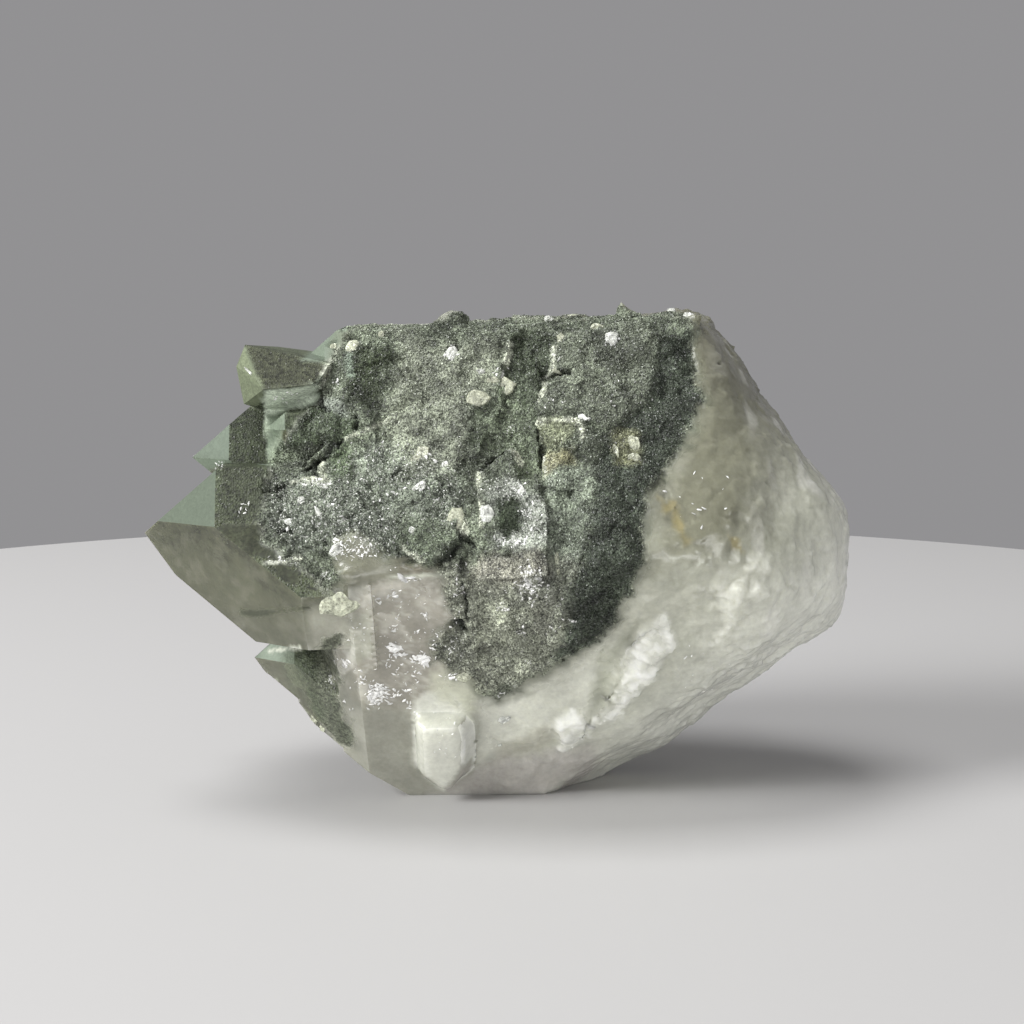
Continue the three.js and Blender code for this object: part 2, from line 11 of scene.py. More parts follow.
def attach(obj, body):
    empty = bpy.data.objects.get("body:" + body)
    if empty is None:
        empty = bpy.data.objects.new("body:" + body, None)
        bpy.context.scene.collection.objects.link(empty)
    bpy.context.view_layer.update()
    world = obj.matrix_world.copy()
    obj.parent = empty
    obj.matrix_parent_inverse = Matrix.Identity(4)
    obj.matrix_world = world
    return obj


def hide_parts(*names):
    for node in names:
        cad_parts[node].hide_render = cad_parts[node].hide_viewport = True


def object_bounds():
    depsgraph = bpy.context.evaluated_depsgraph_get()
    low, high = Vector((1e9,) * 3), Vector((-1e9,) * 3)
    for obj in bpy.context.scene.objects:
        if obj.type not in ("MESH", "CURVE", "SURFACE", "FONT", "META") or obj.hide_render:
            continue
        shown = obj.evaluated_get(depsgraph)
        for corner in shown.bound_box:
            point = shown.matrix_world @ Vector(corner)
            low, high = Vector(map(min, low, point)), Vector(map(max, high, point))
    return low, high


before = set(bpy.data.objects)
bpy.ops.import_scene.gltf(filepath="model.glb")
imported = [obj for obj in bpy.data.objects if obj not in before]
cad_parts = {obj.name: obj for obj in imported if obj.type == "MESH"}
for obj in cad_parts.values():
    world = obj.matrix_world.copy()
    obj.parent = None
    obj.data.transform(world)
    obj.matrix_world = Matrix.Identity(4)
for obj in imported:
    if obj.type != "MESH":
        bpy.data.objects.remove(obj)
cad_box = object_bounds()

# ---------------------------------------------------------------------------
# The crystal itself: one lump of quartz that grew as a thick lying prism with a
# stepped, many-tipped left end. The right end is broken, hackly and milky, the
# front is crusted with green chlorite, and chlorite is also grown into the tips.
# ---------------------------------------------------------------------------
MM = 0.001

# The directions that all the tips share: the long axis, which dips a little to the
# left, the front, and up. Quartz's end faces always lean 38.2 degrees to its axis.
DIP = math.radians(2.5)
ALONG = np.array([-math.cos(DIP), 0.0, -math.sin(DIP)])
FRONT = np.array([0.0, -1.0, 0.0])
UP = np.array([-math.sin(DIP), 0.0, math.cos(DIP)])
TIP_SLOPE = math.radians(38.2)


def prism_face(turn):
    """Normal of the side face turned this many degrees from the front, towards up."""
    a = math.radians(turn)
    return math.cos(a) * FRONT + math.sin(a) * UP


def tip_face(turn):
    """Normal of the end face above that side face."""
    return math.cos(TIP_SLOPE) * prism_face(turn) + math.sin(TIP_SLOPE) * ALONG


def lattice_value(cell, seed):
    """A repeatable number from 0 to 1 for each whole-numbered cell."""
    with np.errstate(over="ignore"):
        h = (
            cell[..., 0].astype(np.uint32) * np.uint32(73856093)
            ^ cell[..., 1].astype(np.uint32) * np.uint32(19349663)
            ^ cell[..., 2].astype(np.uint32) * np.uint32(83492791)
            ^ np.uint32(seed * 2654435761 % 4294967296)
        )
        h ^= h >> np.uint32(15)
        h *= np.uint32(2246822519)
        h ^= h >> np.uint32(13)
        h *= np.uint32(3266489917)
        h ^= h >> np.uint32(16)
    return h.astype(np.float64) / 4294967295.0


FAR = 1e9
NOISE_START = 1000.0


def waves(points, size, seed):
    """Smooth noise from -1 to 1 whose bumps are about this many millimetres wide."""
    p = points / (size * MM) + NOISE_START
    base = np.floor(p).astype(np.int64)
    f = p - base
    f = f * f * f * (f * (6.0 * f - 15.0) + 10.0)
    total = np.zeros(len(points))
    for i, j, k in itertools.product((0, 1), repeat=3):
        w = (
            (f[:, 0] if i else 1 - f[:, 0])
            * (f[:, 1] if j else 1 - f[:, 1])
            * (f[:, 2] if k else 1 - f[:, 2])
        )
        total += w * lattice_value(base + np.array([i, j, k]), seed)
    return 2.0 * total - 1.0


def lattice_vector(cell, seed):
    """Three repeatable numbers from 0 to 1 for each cell."""
    return np.stack([lattice_value(cell, seed + n) for n in range(3)], axis=1)


def nearest_grain(points, size, seed):
    """The grain of about this size that each point is in, and the way from its middle."""
    p = points / (size * MM) + NOISE_START
    base = np.floor(p).astype(np.int64)
    nearest = np.full(len(points), FAR)
    grain, away = base, np.zeros((len(points), 3))
    for step in itertools.product((-1, 0, 1), repeat=3):
        cell = base + np.array(step)
        offset = p - (cell + lattice_vector(cell, seed + 1))
        d = (offset**2).sum(1)
        hit = d < nearest
        nearest = np.where(hit, d, nearest)
        grain = np.where(hit[:, None], cell, grain)
        away = np.where(hit[:, None], offset, away)
    return grain, away


def facets(points, size, seed):
    """Broken-crystal relief from -1 to 1: each grain of this size is a tilted flat."""
    grain, away = nearest_grain(points, size, seed)
    tilt = lattice_vector(grain, seed + 4) - 0.5
    return 1.4 * (away * tilt).sum(1) + 0.6 * (lattice_value(grain, seed + 7) - 0.5)


def cells(points, size, seed):
    """A number from 0 to 1 that is the same all over one grain of this size."""
    return lattice_value(nearest_grain(points, size, seed)[0], seed + 4)


def ramp(value, low, high):
    """0 below low, 1 above high, and smooth between."""
    t = np.clip((value - low) / (high - low), 0.0, 1.0)
    return t * t * (3.0 - 2.0 * t)


# Outlines on the front are in millimetres on the upright middle plane, as the eye
# sees them from here: across, then up.
EYE = np.array([0.8117, -215.868, 62.25]) * MM


def front_chart(points):
    """Where the line from the eye through each point meets the middle plane, in mm."""
    t = (0.0 - EYE[1]) / (points[:, 1] - EYE[1])
    return np.stack(
        [
            EYE[0] + (points[:, 0] - EYE[0]) * t,
            EYE[2] + (points[:, 2] - EYE[2]) * t,
        ],
        axis=1,
    ) / MM


def line_distance(chart, a, b):
    """How far each chart point lies from the straight line between a and b, in mm."""
    ab = b - a
    t = np.clip(((chart - a) @ ab) / (ab @ ab), 0.0, 1.0)
    return np.hypot(*(chart - a - t[:, None] * ab).T)


def inside(chart, outline):
    """How far inside the outline each chart point lies, in mm; negative outside."""
    shape = np.array(outline, float)
    best = np.full(len(chart), FAR)
    odd = np.zeros(len(chart), bool)
    for a, b in zip(shape, np.roll(shape, -1, axis=0)):
        best = np.minimum(best, line_distance(chart, a, b))
        crosses = (a[1] > chart[:, 1]) != (b[1] > chart[:, 1])
        with np.errstate(divide="ignore", invalid="ignore"):
            x = a[0] + (chart[:, 1] - a[1]) * (b - a)[0] / (b - a)[1]
        odd ^= crosses & (chart[:, 0] < x)
    return np.where(odd, best, -best)


CRUST = [(-18.4, 53), (-7.6, 54.1), (10.7, 54.3), (12.7, 56.4), (14.8, 54.6),
    (20.8, 54.3), (22.1, 46.4), (23, 44.5), (21, 41.3), (18.1, 36.4), (16.5, 34),
    (16, 26.4), (12.7, 19.4), (9.2, 15.8), (4.6, 13.5), (-0.6, 9.9), (-3.0, 10.2),
    (-3.6, 12.6), (-4.8, 13.4), (-6.8, 13.5), (-7.9, 14.6), (-8.0, 16.6), (-6.6, 18.2),
    (-5.9, 20.2), (-6.6, 22.0), (-6.9, 24.3), (-7.4, 25.4), (-9.2, 25.9), (-11.4, 26.6),
    (-13.4, 27.2), (-15.2, 28.6), (-17.5, 29.6), (-19.1, 28.9), (-19.9, 27.3),
    (-19.6, 25.2), (-19.1, 23.3), (-20.4, 22.3), (-23.8, 25.2), (-27.7, 28.8),
    (-27.7, 33.3), (-26.9, 37.6), (-24.9, 41.3), (-21.1, 44.5), (-21, 46.5),
    (-19, 50.4), (-17.9, 52.4)]

# The body starts as the solid's own mesh, merged, with faces evened out to 0.4 mm.
body = bpy.data.objects.new("quartz_body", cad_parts["chlorite_quartz"].data.copy())
bpy.context.scene.collection.objects.link(body)
body.data.materials.clear()
GRID_DEPTH, GRID_SHARE = 8, 0.74
MERGE = 2e-6
bm = bmesh.new()
bm.from_mesh(body.data)
bmesh.ops.remove_doubles(bm, verts=bm.verts, dist=MERGE)
bm.to_mesh(body.data)
bm.free()
remesh = body.modifiers.new("even_faces", "REMESH")
remesh.mode = "SHARP"
remesh.octree_depth = GRID_DEPTH
remesh.scale = GRID_SHARE
remesh.use_remove_disconnected = True
mesh = bpy.data.meshes.new_from_object(
    body.evaluated_get(bpy.context.evaluated_depsgraph_get())
)
body.modifiers.remove(remesh)
body.data = mesh
bm = bmesh.new()
bm.from_mesh(mesh)
bmesh.ops.triangulate(bm, faces=bm.faces)
bm.normal_update()
bm.to_mesh(mesh)
bm.free()


def gather(items, key, width):
    """One value of every vertex, face or corner of a mesh as rows of numbers."""
    rows = np.zeros(len(items) * width)
    items.foreach_get(key, rows)
    return rows.reshape(-1, width)


spots = gather(mesh.vertices, "co", 3)
outward = gather(mesh.vertices, "normal", 3)
flats = gather(mesh.polygons, "normal", 3)

chart = front_chart(spots)
x, y, z = (spots / MM).T
grit = (
    waves(spots, 2.6, 11) + 0.6 * waves(spots, 1.1, 12) + 0.4 * waves(spots, 0.5, 13)
)
in_front = ramp(-y, -5.0, 0.0)


def near(chart, path):
    """How far each chart point lies from a drawn line of many corners, in mm."""
    best = np.full(len(chart), FAR)
    for a, b in zip(np.array(path[:-1], float), np.array(path[1:], float)):
        best = np.minimum(best, line_distance(chart, a, b))
    return best


# Where the crust lies: its outline on the front, and patches on the back and the top.
crust = ramp(inside(chart, CRUST) + 0.7 * grit, -0.5, 0.7) * in_front
patches = waves(spots, 14.0, 21) + 0.6 * waves(spots, 6.0, 22) + 0.25 * grit
crust = np.maximum(
    crust, ramp(patches, 0.25, 0.5) * ramp(y, 3.0, 9.0) * ramp(x, -30.0, -20.0)
)
# Where the quartz is broken: to the right of the crystal's clean lower front.
milky = ramp(x + 1.2 * grit, -4.0, 2.0) * (1.0 - crust)

# The broken quartz is worn soft, and the hanging point melts into it at its right.
HANGING = [(-10.6, 9.9), (-7.5, 11.4), (-4.5, 10.2), (-4.4, 2.2), (-7.2, -1),
    (-10.5, 1.9)]
hanging = ramp(inside(chart, HANGING), -1.2, 0.4) * in_front
HAZE = [(-20.5, 22.6), (-19.9, 26.4), (-19.3, 28.9), (-17.5, 29.7), (-15.2, 28.7),
    (-13.4, 27.3), (-11.4, 26.5), (-8.8, 25.8), (-6.5, 25.7), (-6.5, 24.4),
    (-11.1, 24.4), (-15.2, 23.9), (-17.8, 22.6)]
RIGHT_OF_WINDOW = [(-8.3, 22.4), (-5.8, 22.4), (-4.3, 12.3), (-3.1, 9.9), (-5.0, 8.5),
    (-8.7, 11.1), (-9.2, 15.8)]
SEAM = [(-5.5, 38.5), (-3.3, 38.5), (-3.1, 31.0), (-3.2, 19.0), (-5.1, 19.0),
    (-5.6, 31.0)]
RECESS = [(-27.3, 46), (-21, 46.5), (-21.1, 44.7), (-23, 43.7), (-25, 43.4),
    (-25.9, 42.7), (-27.5, 41.3)]
GROOVE = [(0.6, 51.5), (3.2, 51.5), (3.4, 44.0), (3.2, 36.5), (1.4, 36.0), (0.8, 44.0)]
worn = ramp(x + 0.6 * grit, -6.5, -2.5) * (1.0 - crust)
worn = np.maximum(worn, 0.10 * hanging)
for outline, share, low, high in (
    (HAZE, 0.4, -0.2, 1.2), (RIGHT_OF_WINDOW, 1.0, -0.8, 0.4), (SEAM, 0.5, -0.2, 0.4),
    (RECESS, 0.3, 0.0, 1.2), (GROOVE, 0.5, -0.4, 0.8),
):
    worn = np.maximum(worn, share * ramp(inside(chart, outline), low, high) * in_front)
# The foot it rests on and the knobs on the top edge stay as they are.
worn *= ramp(z, 0.3, 2.5) * (1.0 - ramp(z, 52.0, 53.5))
ends = gather(mesh.edges, "vertices", 2).astype(np.int64)
neighbours = np.bincount(ends.ravel(), minlength=len(spots))
WEAR_PASSES, WEAR_SHARE = 100, 0.5
for _ in range(WEAR_PASSES):
    around = np.stack(
        [
            np.bincount(ends[:, 0], spots[ends[:, 1], axis], len(spots))
            + np.bincount(ends[:, 1], spots[ends[:, 0], axis], len(spots))
            for axis in range(3)
        ],
        axis=1,
    )
    spots += WEAR_SHARE * worn[:, None] * (around / neighbours[:, None] - spots)

# Open cracks in the crust, and light raised edges of its plates: a line, its width.
CRACKS = [
    ([(-22.3, 36.6), (-20.8, 37.9), (-19.4, 39.1), (-18.5, 40)], 0.57),
    ([(-27.2, 46), (-24.3, 46.3), (-21.1, 46.6)], 0.34),
    ([(-17, 42.7), (-16.9, 41.4)], 0.34), ([(-27.3, 34.1), (-24.8, 35.1)], 0.34),
    ([(-2.7, 36.9), (-1.8, 37.8), (0.1, 39.2)], 0.45),
    ([(-5.2, 32.6), (-4.6, 29.3), (-4.1, 28.1)], 0.40),
    ([(-7.5, 26), (-6.3, 26.8), (-5.2, 28.1)], 1.02),
    ([(-26, 30.8), (-25.6, 29.7), (-24.4, 29.7)], 0.34),
    ([(5.3, 47.5), (7.4, 47.8)], 0.34), ([(4.7, 36.4), (4, 40.2), (3.2, 43.4)], 0.45),
    ([(17.2, 34.7), (16.4, 34)], 0.34), ([(18.1, 36.4), (17.2, 34.7)], 0.34),
    ([(-30.2, 20.2), (-28.7, 20.1), (-27.3, 20.2)], 0.68),
    ([(-27.3, 20.2), (-26, 20.4), (-22.4, 20.8)], 0.23),
    ([(-4.5, 26.4), (-4.7, 22.9), (-4.4, 19.4)], 0.20),
    ([(-6.6, 18.6), (-5.4, 18.9), (-4.8, 17.9)], 1.00),
    ([(-12.7, 36), (-11.7, 36.7)], 0.34), ([(-18, 52), (-17.2, 51.2)], 0.34),
]
RIMS = [
    ([(-18.7, 39.8), (-16.2, 41.1), (-13.3, 42.4)], 0.34),
    ([(-24.1, 35.2), (-21.5, 35), (-19.9, 35.6)], 0.34),
    ([(-20.1, 38.8), (-20.8, 36.7), (-19.9, 35.6)], 0.34),
    ([(0.8, 39.1), (2.2, 37.5)], 0.57),
    ([(-2.9, 36.4), (-2.9, 33.3), (-2.8, 30.5)], 0.34),
    ([(-12, 28.6), (-11.3, 27.2), (-9.3, 26.2)], 0.34),
    ([(-27.2, 26.1), (-25.2, 26.2), (-23.2, 26.6)], 0.10),
    ([(-13.3, 24.3), (-9.7, 24.5), (-6.6, 24.7)], 0.23),
    ([(0.8, 51.1), (0.1, 49.1)], 0.45),
    ([(5.2, 51.6), (5.6, 49.3), (5.2, 47.8), (3.3, 43.4), (4.1, 42.2)], 0.34),
    ([(4.1, 42.2), (6.3, 42.3), (8.4, 42.4)], 0.45), ([(8.4, 42.4), (8.9, 40)], 0.34),
    ([(4.7, 38), (4.6, 35.8)], 0.45),
    ([(-20.5, 47.6), (-19.6, 49.2), (-18.8, 50.6)], 0.05),
    ([(-5.1, 32.4), (-4.4, 31), (-4.3, 29.1)], 0.45),
    ([(-27.1, 15.8), (-23.6, 16.1)], 0.23),
    ([(-26.6, 12.3), (-24.9, 9.9), (-23, 8.3)], 0.30),
]


def drawn(lines, frayed, core, fade):
    """1 along each line, over this share of its width, and fading out beside it."""
    amount = np.zeros(len(spots))
    for path, width in lines:
        away = near(chart, path) + frayed * grit
        amount = np.maximum(amount, 1.0 - ramp(away, core * width, core * width + fade))
    return amount * in_front


cracked = drawn(CRACKS, 0.10, 0.25, 0.35)
rimmed = drawn(RIMS, 0.12, 0.22, 0.24)

# Plates and lumps of the crust that stand a little proud or sit back.
LUMP = [(-11.4, 30.4), (-8.5, 31.2), (-5.7, 29.3), (-5.7, 26.6), (-9.1, 25.7),
    (-11.4, 27.3), (-12.4, 28.7)]
STEP_A = [(-25, 42.9), (-23.2, 43.7), (-20.6, 43.7), (-20.3, 41.3), (-21.2, 39.5),
    (-25.1, 39.4)]
STEP_B = [(-20, 42.5), (-17.3, 42.5), (-17, 40.2), (-19.8, 40.2)]
STEP_C = [(-20, 39.5), (-17.6, 39.9), (-17.4, 35.8), (-19.7, 36)]
PIT = [(-0.9, 33.1), (0.6, 33.5), (2, 32.4), (1.8, 30.1), (0.4, 29.1), (-1, 30.3)]
SPARKLY = [(-26.7, 35.6), (-21.2, 36.7), (-17.6, 39), (-11.9, 40.2), (-5.1, 36.7),
    (-4.5, 33.3), (-5.4, 29.8), (-12, 31), (-12.6, 26.4), (-18.9, 26.4), (-20, 28.7),
    (-23.5, 26.4), (-27.4, 29.8)]
DARK_PLATE = [(-3.6, 43.8), (-1.3, 44.9), (0.1, 48.4), (1, 52.3), (2.6, 52.6),
    (5.2, 51.4), (5.2, 48.4), (3.3, 43.4), (4.2, 39.8), (4.7, 36.4), (1.7, 35.6),
    (0.8, 39.1), (-1.7, 38.5), (-4.1, 39.8)]
GREEN_PLATE = [(5.7, 52), (15.2, 53.2), (17.5, 51.5), (16.4, 44.7), (11.4, 41.3),
    (8.5, 43), (4, 43.4), (5.6, 48.1)]
LIT_SLOPE = [(4.7, 35.6), (6.3, 36.7), (10.3, 36.7), (9.7, 31.4), (8.6, 26.4),
    (7.7, 23.9), (7, 19.4), (5.2, 17), (4.9, 26.4)]
sparkly = ramp(inside(chart, SPARKLY) + 0.8 * grit, -0.8, 1.2) * in_front
steps = np.zeros(len(spots))
for outline, rise, soft in (
    (LUMP, 0.55, 1.6), (STEP_A, 0.45, 0.5), (STEP_B, 0.40, 0.5), (STEP_C, 0.35, 0.5),
    (PIT, -0.60, 1.0), (DARK_PLATE, -0.45, 0.5), (GREEN_PLATE, 0.40, 0.5),
    (LIT_SLOPE, 0.30, 0.8),
):
    steps += rise * ramp(inside(chart, outline) + 0.15 * grit, -soft / 2, soft / 2)

# Relief: each height in mm times a pattern of this size in mm, from its own seed. The
# crust is grainy, the broken quartz smoother but hackly at the right end, the snowy
# ridge is shattered, and two ledges stand out over a hollow.
relief = crust * (
    0.30 * waves(spots, 4.2, 31)
    + (0.44 + 0.28 * sparkly) * facets(spots, 4.6, 35)
    + (0.42 + 0.36 * sparkly) * facets(spots, 2.1, 32)
    + (0.22 + 0.12 * sparkly) * facets(spots, 1.2, 34)
    + 0.12 * waves(spots, 1.2, 33)
    + steps * in_front
)
hackly = ramp(x, 15.0, 24.0) * (0.35 + 0.65 * ramp(waves(spots, 6.0, 76), -0.5, 0.5))
relief += milky * (
    0.24 * waves(spots, 4.5, 44)
    + 0.20 * facets(spots, 3.2, 42)
    + 0.10 * facets(spots, 1.3, 43)
    + hackly * (0.42 * facets(spots, 2.4, 74) + 0.20 * facets(spots, 1.1, 75))
)
SNOW_RIDGE = [(18.9, 20.4), (15.7, 18.1), (14.5, 14.8), (12.3, 10.0), (12.7, 8.8),
    (9.3, 7.1), (7.8, 8.9), (5.8, 6.6), (6.3, 3.8), (7.5, 3.8), (9.5, 6.0),
    (13.0, 7.9), (16.8, 12.5), (17.7, 15.1), (19.2, 16.4), (19.0, 18.4)]
LEDGE_HIGH = [(28.0, 27.0), (30.8, 26.9), (30.9, 25.7), (29.6, 24.5), (27.6, 25.2)]
LEDGE_LOW = [(24.4, 23.1), (30.3, 23.5), (30.9, 22.4), (27.7, 20.7), (25.7, 18.1),
    (24.9, 20.7)]
HOLLOW = [(13.7, 17.6), (15.7, 19.1), (14.2, 15.1), (12.0, 9.4), (10.0, 8.4),
    (10.3, 11.5), (11.2, 15.1)]
ridge = ramp(inside(chart, SNOW_RIDGE) + 0.3 * grit, -0.5, 0.5)
shelf = np.maximum(
    ramp(inside(chart, LEDGE_HIGH) + 0.2 * grit, -0.6, 0.9),
    ramp(inside(chart, LEDGE_LOW) + 0.2 * grit, -0.6, 0.9),
)
hollow = ramp(inside(chart, HOLLOW), -0.8, 1.2)
broken = 0.30 + 0.55 * facets(spots, 2.4, 46) + 0.35 * facets(spots, 1.2, 47)
relief += milky * in_front * (ridge * broken + 0.35 * shelf - 0.6 * hollow)
relief += crust * (0.18 * rimmed - 0.65 * cracked)
relief *= ramp(z, 0.3, 2.0)
spots = spots + outward * (relief * MM)[:, None]
spots = np.clip(spots, np.array(cad_box[0]), np.array(cad_box[1]))
mesh.vertices.foreach_set("co", spots.ravel())
mesh.update()
mesh.polygons.foreach_set("use_smooth", np.ones(len(mesh.polygons), bool))
CRISP_FROM = math.radians(24)
mesh.set_sharp_from_angle(angle=CRISP_FROM)
# Milky quartz has no crisp edges: its light is soft from within.
crisp = np.zeros(len(mesh.edges), bool)
mesh.attributes["sharp_edge"].data.foreach_get("value", crisp)
crisp &= np.maximum(milky, hanging)[ends].mean(1) < 0.5
mesh.attributes["sharp_edge"].data.foreach_set("value", crisp)


def linear(red, green, blue):
    """Screen colour, 0 to 255, as linear light."""
    c = np.array([red, green, blue]) / 255.0
    return np.where(c <= 0.04045, c / 12.92, ((c + 0.055) / 1.055) ** 2.4)


# Colour and finish, laid corner by corner so that crystal edges stay crisp.
at = gather(mesh.loops, "vertex_index", 1)[:, 0].astype(np.int64)
facing = np.repeat(flats, 3, axis=0)
here, grit_here, front_here = chart[at], grit[at], in_front[at]
crust_here, milky_here = crust[at], milky[at]
x_here, _, z_here = (spots[at] / MM).T
tint = np.tile(linear(188, 189, 178), (len(at), 1))
clear = np.full(len(at), 0.35)
dull = np.full(len(at), 0.16)
speckle = np.zeros(len(at))


def coat(amount, colour, see_through=None, dullness=None, grain=None):
    """Lay a colour over what is there, and how see-through, dull and grainy it is."""
    global tint, clear, dull, speckle
    tint = tint * (1 - amount[:, None]) + linear(*colour) * amount[:, None]
    if grain is not None:
        speckle = speckle * (1 - amount) + grain * amount
    if see_through is not None:
        clear = clear * (1 - amount) + see_through * amount
    if dullness is not None:
        dull = dull * (1 - amount) + dullness * amount


def on_front(outline, frayed=0.0, soft=0.6):
    """1 inside an outline drawn on the front, with its border frayed by this many mm."""
    border = inside(here, outline) + frayed * grit_here
    return ramp(border, -soft / 2, soft / 2) * front_here


def faces_like(direction, spread=8.0):
    """1 on the faces that look this way, to within this many degrees."""
    return (facing @ direction > math.cos(math.radians(spread))).astype(float)


# Broken milky quartz. Towards the upper right it is yellower and painted darker: painted
# shade on the faces turned from the light.
coat(milky_here, (200, 201, 186), 0.10, 0.20)
cloud = ramp(waves(spots, 6.0, 45) + 0.6 * waves(spots, 2.2, 46), -0.9, 0.9)[at]
coat(0.55 * milky_here * (1 - cloud), (168, 170, 152))
# Whiter milk towards the lower right, lightened further as painted light on its shaded,
# downward-facing underside.
low_right_milk_and_painted_light = milky_here * ramp(x_here - z_here, -6.0, 14.0)
coat(0.9 * low_right_milk_and_painted_light, (237, 238, 228))
upper_right_yellow_and_painted_shade = milky_here * ramp(z_here + 0.25 * x_here, 42.0, 55.0)
coat(0.9 * upper_right_yellow_and_painted_shade, (122, 121, 103), 0.30)
end_veins = ramp(waves(spots * [1.0, 1.0, 0.35], 1.9, 47), 0.25, 0.7)[at]
coat(0.6 * end_veins * milky_here * ramp(x_here, 20.0, 28.0), (230, 230, 221))
# The lower front of the milky quartz is whiter, and also painted light where it faces down
# into shade.
WHITER_MILK_AND_PAINTED_LIGHT = [(-4.5, 11.1), (4.6, 13.3), (10.9, 17), (15.6, 15.8), (11, 9.9),
    (5.2, 4.6), (0, 3.8), (-4.3, 2.2)]
coat(0.85 * on_front(WHITER_MILK_AND_PAINTED_LIGHT, 1.4, 5.0), (226, 227, 214), 0.04, 0.30)

# The tips: mint end faces, olive side faces, smoky brown undersides.
left = ramp(-x_here, 12.0, 16.0) * (1.0 - crust_here)
smoky = np.maximum(faces_like(tip_face(-30)), faces_like(tip_face(-90))) * left
coat(smoky, (114, 116, 92), 0.40, 0.14)
SIDE_STRIP = [(-23.7, 22.4), (-20.6, 22.6), (-20.4, 17), (-21.5, 16.3), (-23, 16.4)]
side_strip = on_front(SIDE_STRIP, 0.3, 0.8)
coat(side_strip, (124, 126, 105), 0.40, 0.14)
smoky = np.maximum(smoky, side_strip)
coat(smoky * ramp(-z_here, -26.0, -18.0), (136, 137, 118), 0.45, 0.12)
streaks = waves(spots * [1.0, 1.0, 1.6], 2.6, 48) + 0.7 * waves(spots, 0.9, 49)
streaks = ramp(streaks, -0.8, 0.9)[at]
coat(0.4 * smoky * (1 - streaks), (98, 102, 78))
coat(0.25 * smoky * ramp(streaks, 0.6, 1.0), (158, 158, 140))
mint = np.maximum(faces_like(tip_face(30)), faces_like(tip_face(90))) * left
mint = np.maximum(mint, faces_like(tip_face(150)) * left)
coat(mint, (101, 111, 98), 0.0, 0.55, 0.14)
coat(mint * ramp(-z_here, -20.0, -16.5), (127, 138, 123))
lead_mint = mint * ramp(-z_here, -40.0, -37.0) * ramp(-x_here, 27.0, 29.0)
coat(0.8 * lead_mint, (85, 94, 80))
B_UNDER = [(-36, 38.3), (-31, 38.6), (-31, 37.4), (-32.8, 37), (-34, 36.3)]
looks_down = (facing[:, 2] < -0.1).astype(float)
coat(on_front(B_UNDER, 0.0, 0.4) * left * looks_down, (112, 123, 107), 0.0, 0.55, 0.14)
olive = np.maximum(faces_like(prism_face(30)), faces_like(prism_face(90))) * left
coat(olive, (68, 75, 57), 0.0, 0.6, 1.0)
BAND = [(-39.6, 30.9), (-27.7, 30.9), (-23.5, 26.4), (-19.5, 22.6), (-18.4, 21.5),
    (-21.5, 21.7), (-25.2, 22.9), (-27.8, 25.4), (-32, 27.8), (-36.6, 29.3)]
coat(0.75 * on_front(BAND, 1.6, 4.4) * left * (1 - mint), (64, 68, 46), 0.35, 0.3, 0.7)
BROWN_SPECK = [(-31.6, 30.8), (-27.7, 30.1), (-23.5, 26.1), (-20.1, 22.6), (-18.4, 21.7),
    (-21.2, 21.7), (-25.6, 22.9), (-29.2, 26.4), (-37.2, 28.1), (-38.2, 30.4)]
speckled = ramp(waves(spots, 0.7, 50) + 0.6 * waves(spots, 1.8, 63), -0.5, 0.6)[at]
coat(
    0.5 * on_front(BROWN_SPECK, 1.8, 3.6) * left * (1 - mint) * speckled,
    (70, 74, 54), 0.35, 0.3, 0.8,
)

# The block askew on the high tip, and the pale faces under and beside it. The mint recess
# under the block is painted paler than its own colour: painted light against the block's
# shade.
BLOCK = [(-29.5, 51.1), (-22.8, 49.6), (-19.7, 49.1), (-21.1, 46.5), (-27.3, 46)]
BLOCK_END = [(-31, 51.5), (-29.5, 51.1), (-27.3, 46), (-27.4, 44), (-29.4, 43.4),
    (-31, 47)]
SHOULDER = [(-23.1, 49.1), (-18.4, 53.3), (-17.9, 52.4), (-19, 50.4), (-20.6, 47.6),
    (-21.1, 46.5), (-19.7, 49.1)]
PALE_BAND = [(-27.5, 41.9), (-26, 43.4), (-25, 43.6), (-25.1, 39.4), (-26, 37.3),
    (-26.9, 37)]
HIGH_OLIVE = [(-31, 43.5), (-29.2, 43.9), (-27.4, 44.3), (-26.9, 37.3), (-31.1, 37.4)]
LEAD_OLIVE = [(-32.4, 37.2), (-27.2, 37.2), (-27.5, 30.8), (-32.5, 30.8)]
block_corner = (x_here < -19.5) & (z_here > 44.0)
coat(block_corner * (1.0 - mint) * left, (80, 86, 68), 0.0, 0.6, 0.6)
for outline, frayed, soft, colour_of, dullness, grain in (
    (BLOCK, 0.0, 0.6, (60, 63, 48), 0.65, 1.0),
    (BLOCK_END, 0.0, 0.6, (108, 116, 92), 0.6, 0.3),
    (SHOULDER, 0.1, 0.6, (107, 118, 103), 0.55, 0.12),
    (RECESS, 0.2, 0.6, (208, 219, 200), 0.55, 0.5),
    (PALE_BAND, 0.2, 0.6, (156, 168, 147), 0.55, 0.3),
    (HIGH_OLIVE, 0.1, 0.3, (50, 56, 40), 0.6, 1.0),
    (LEAD_OLIVE, 0.1, 0.3, (57, 62, 47), 0.6, 1.0),
):
    coat(on_front(outline, frayed, soft), colour_of, 0.0, dullness, grain)
SPIKE = [(-26.9, 43), (-25.1, 43.2), (-25, 41.1), (-26.9, 39)]
coat(on_front(SPIKE, 0.2, 0.5) * left, (112, 124, 106), 0.0, 0.55, 0.3)

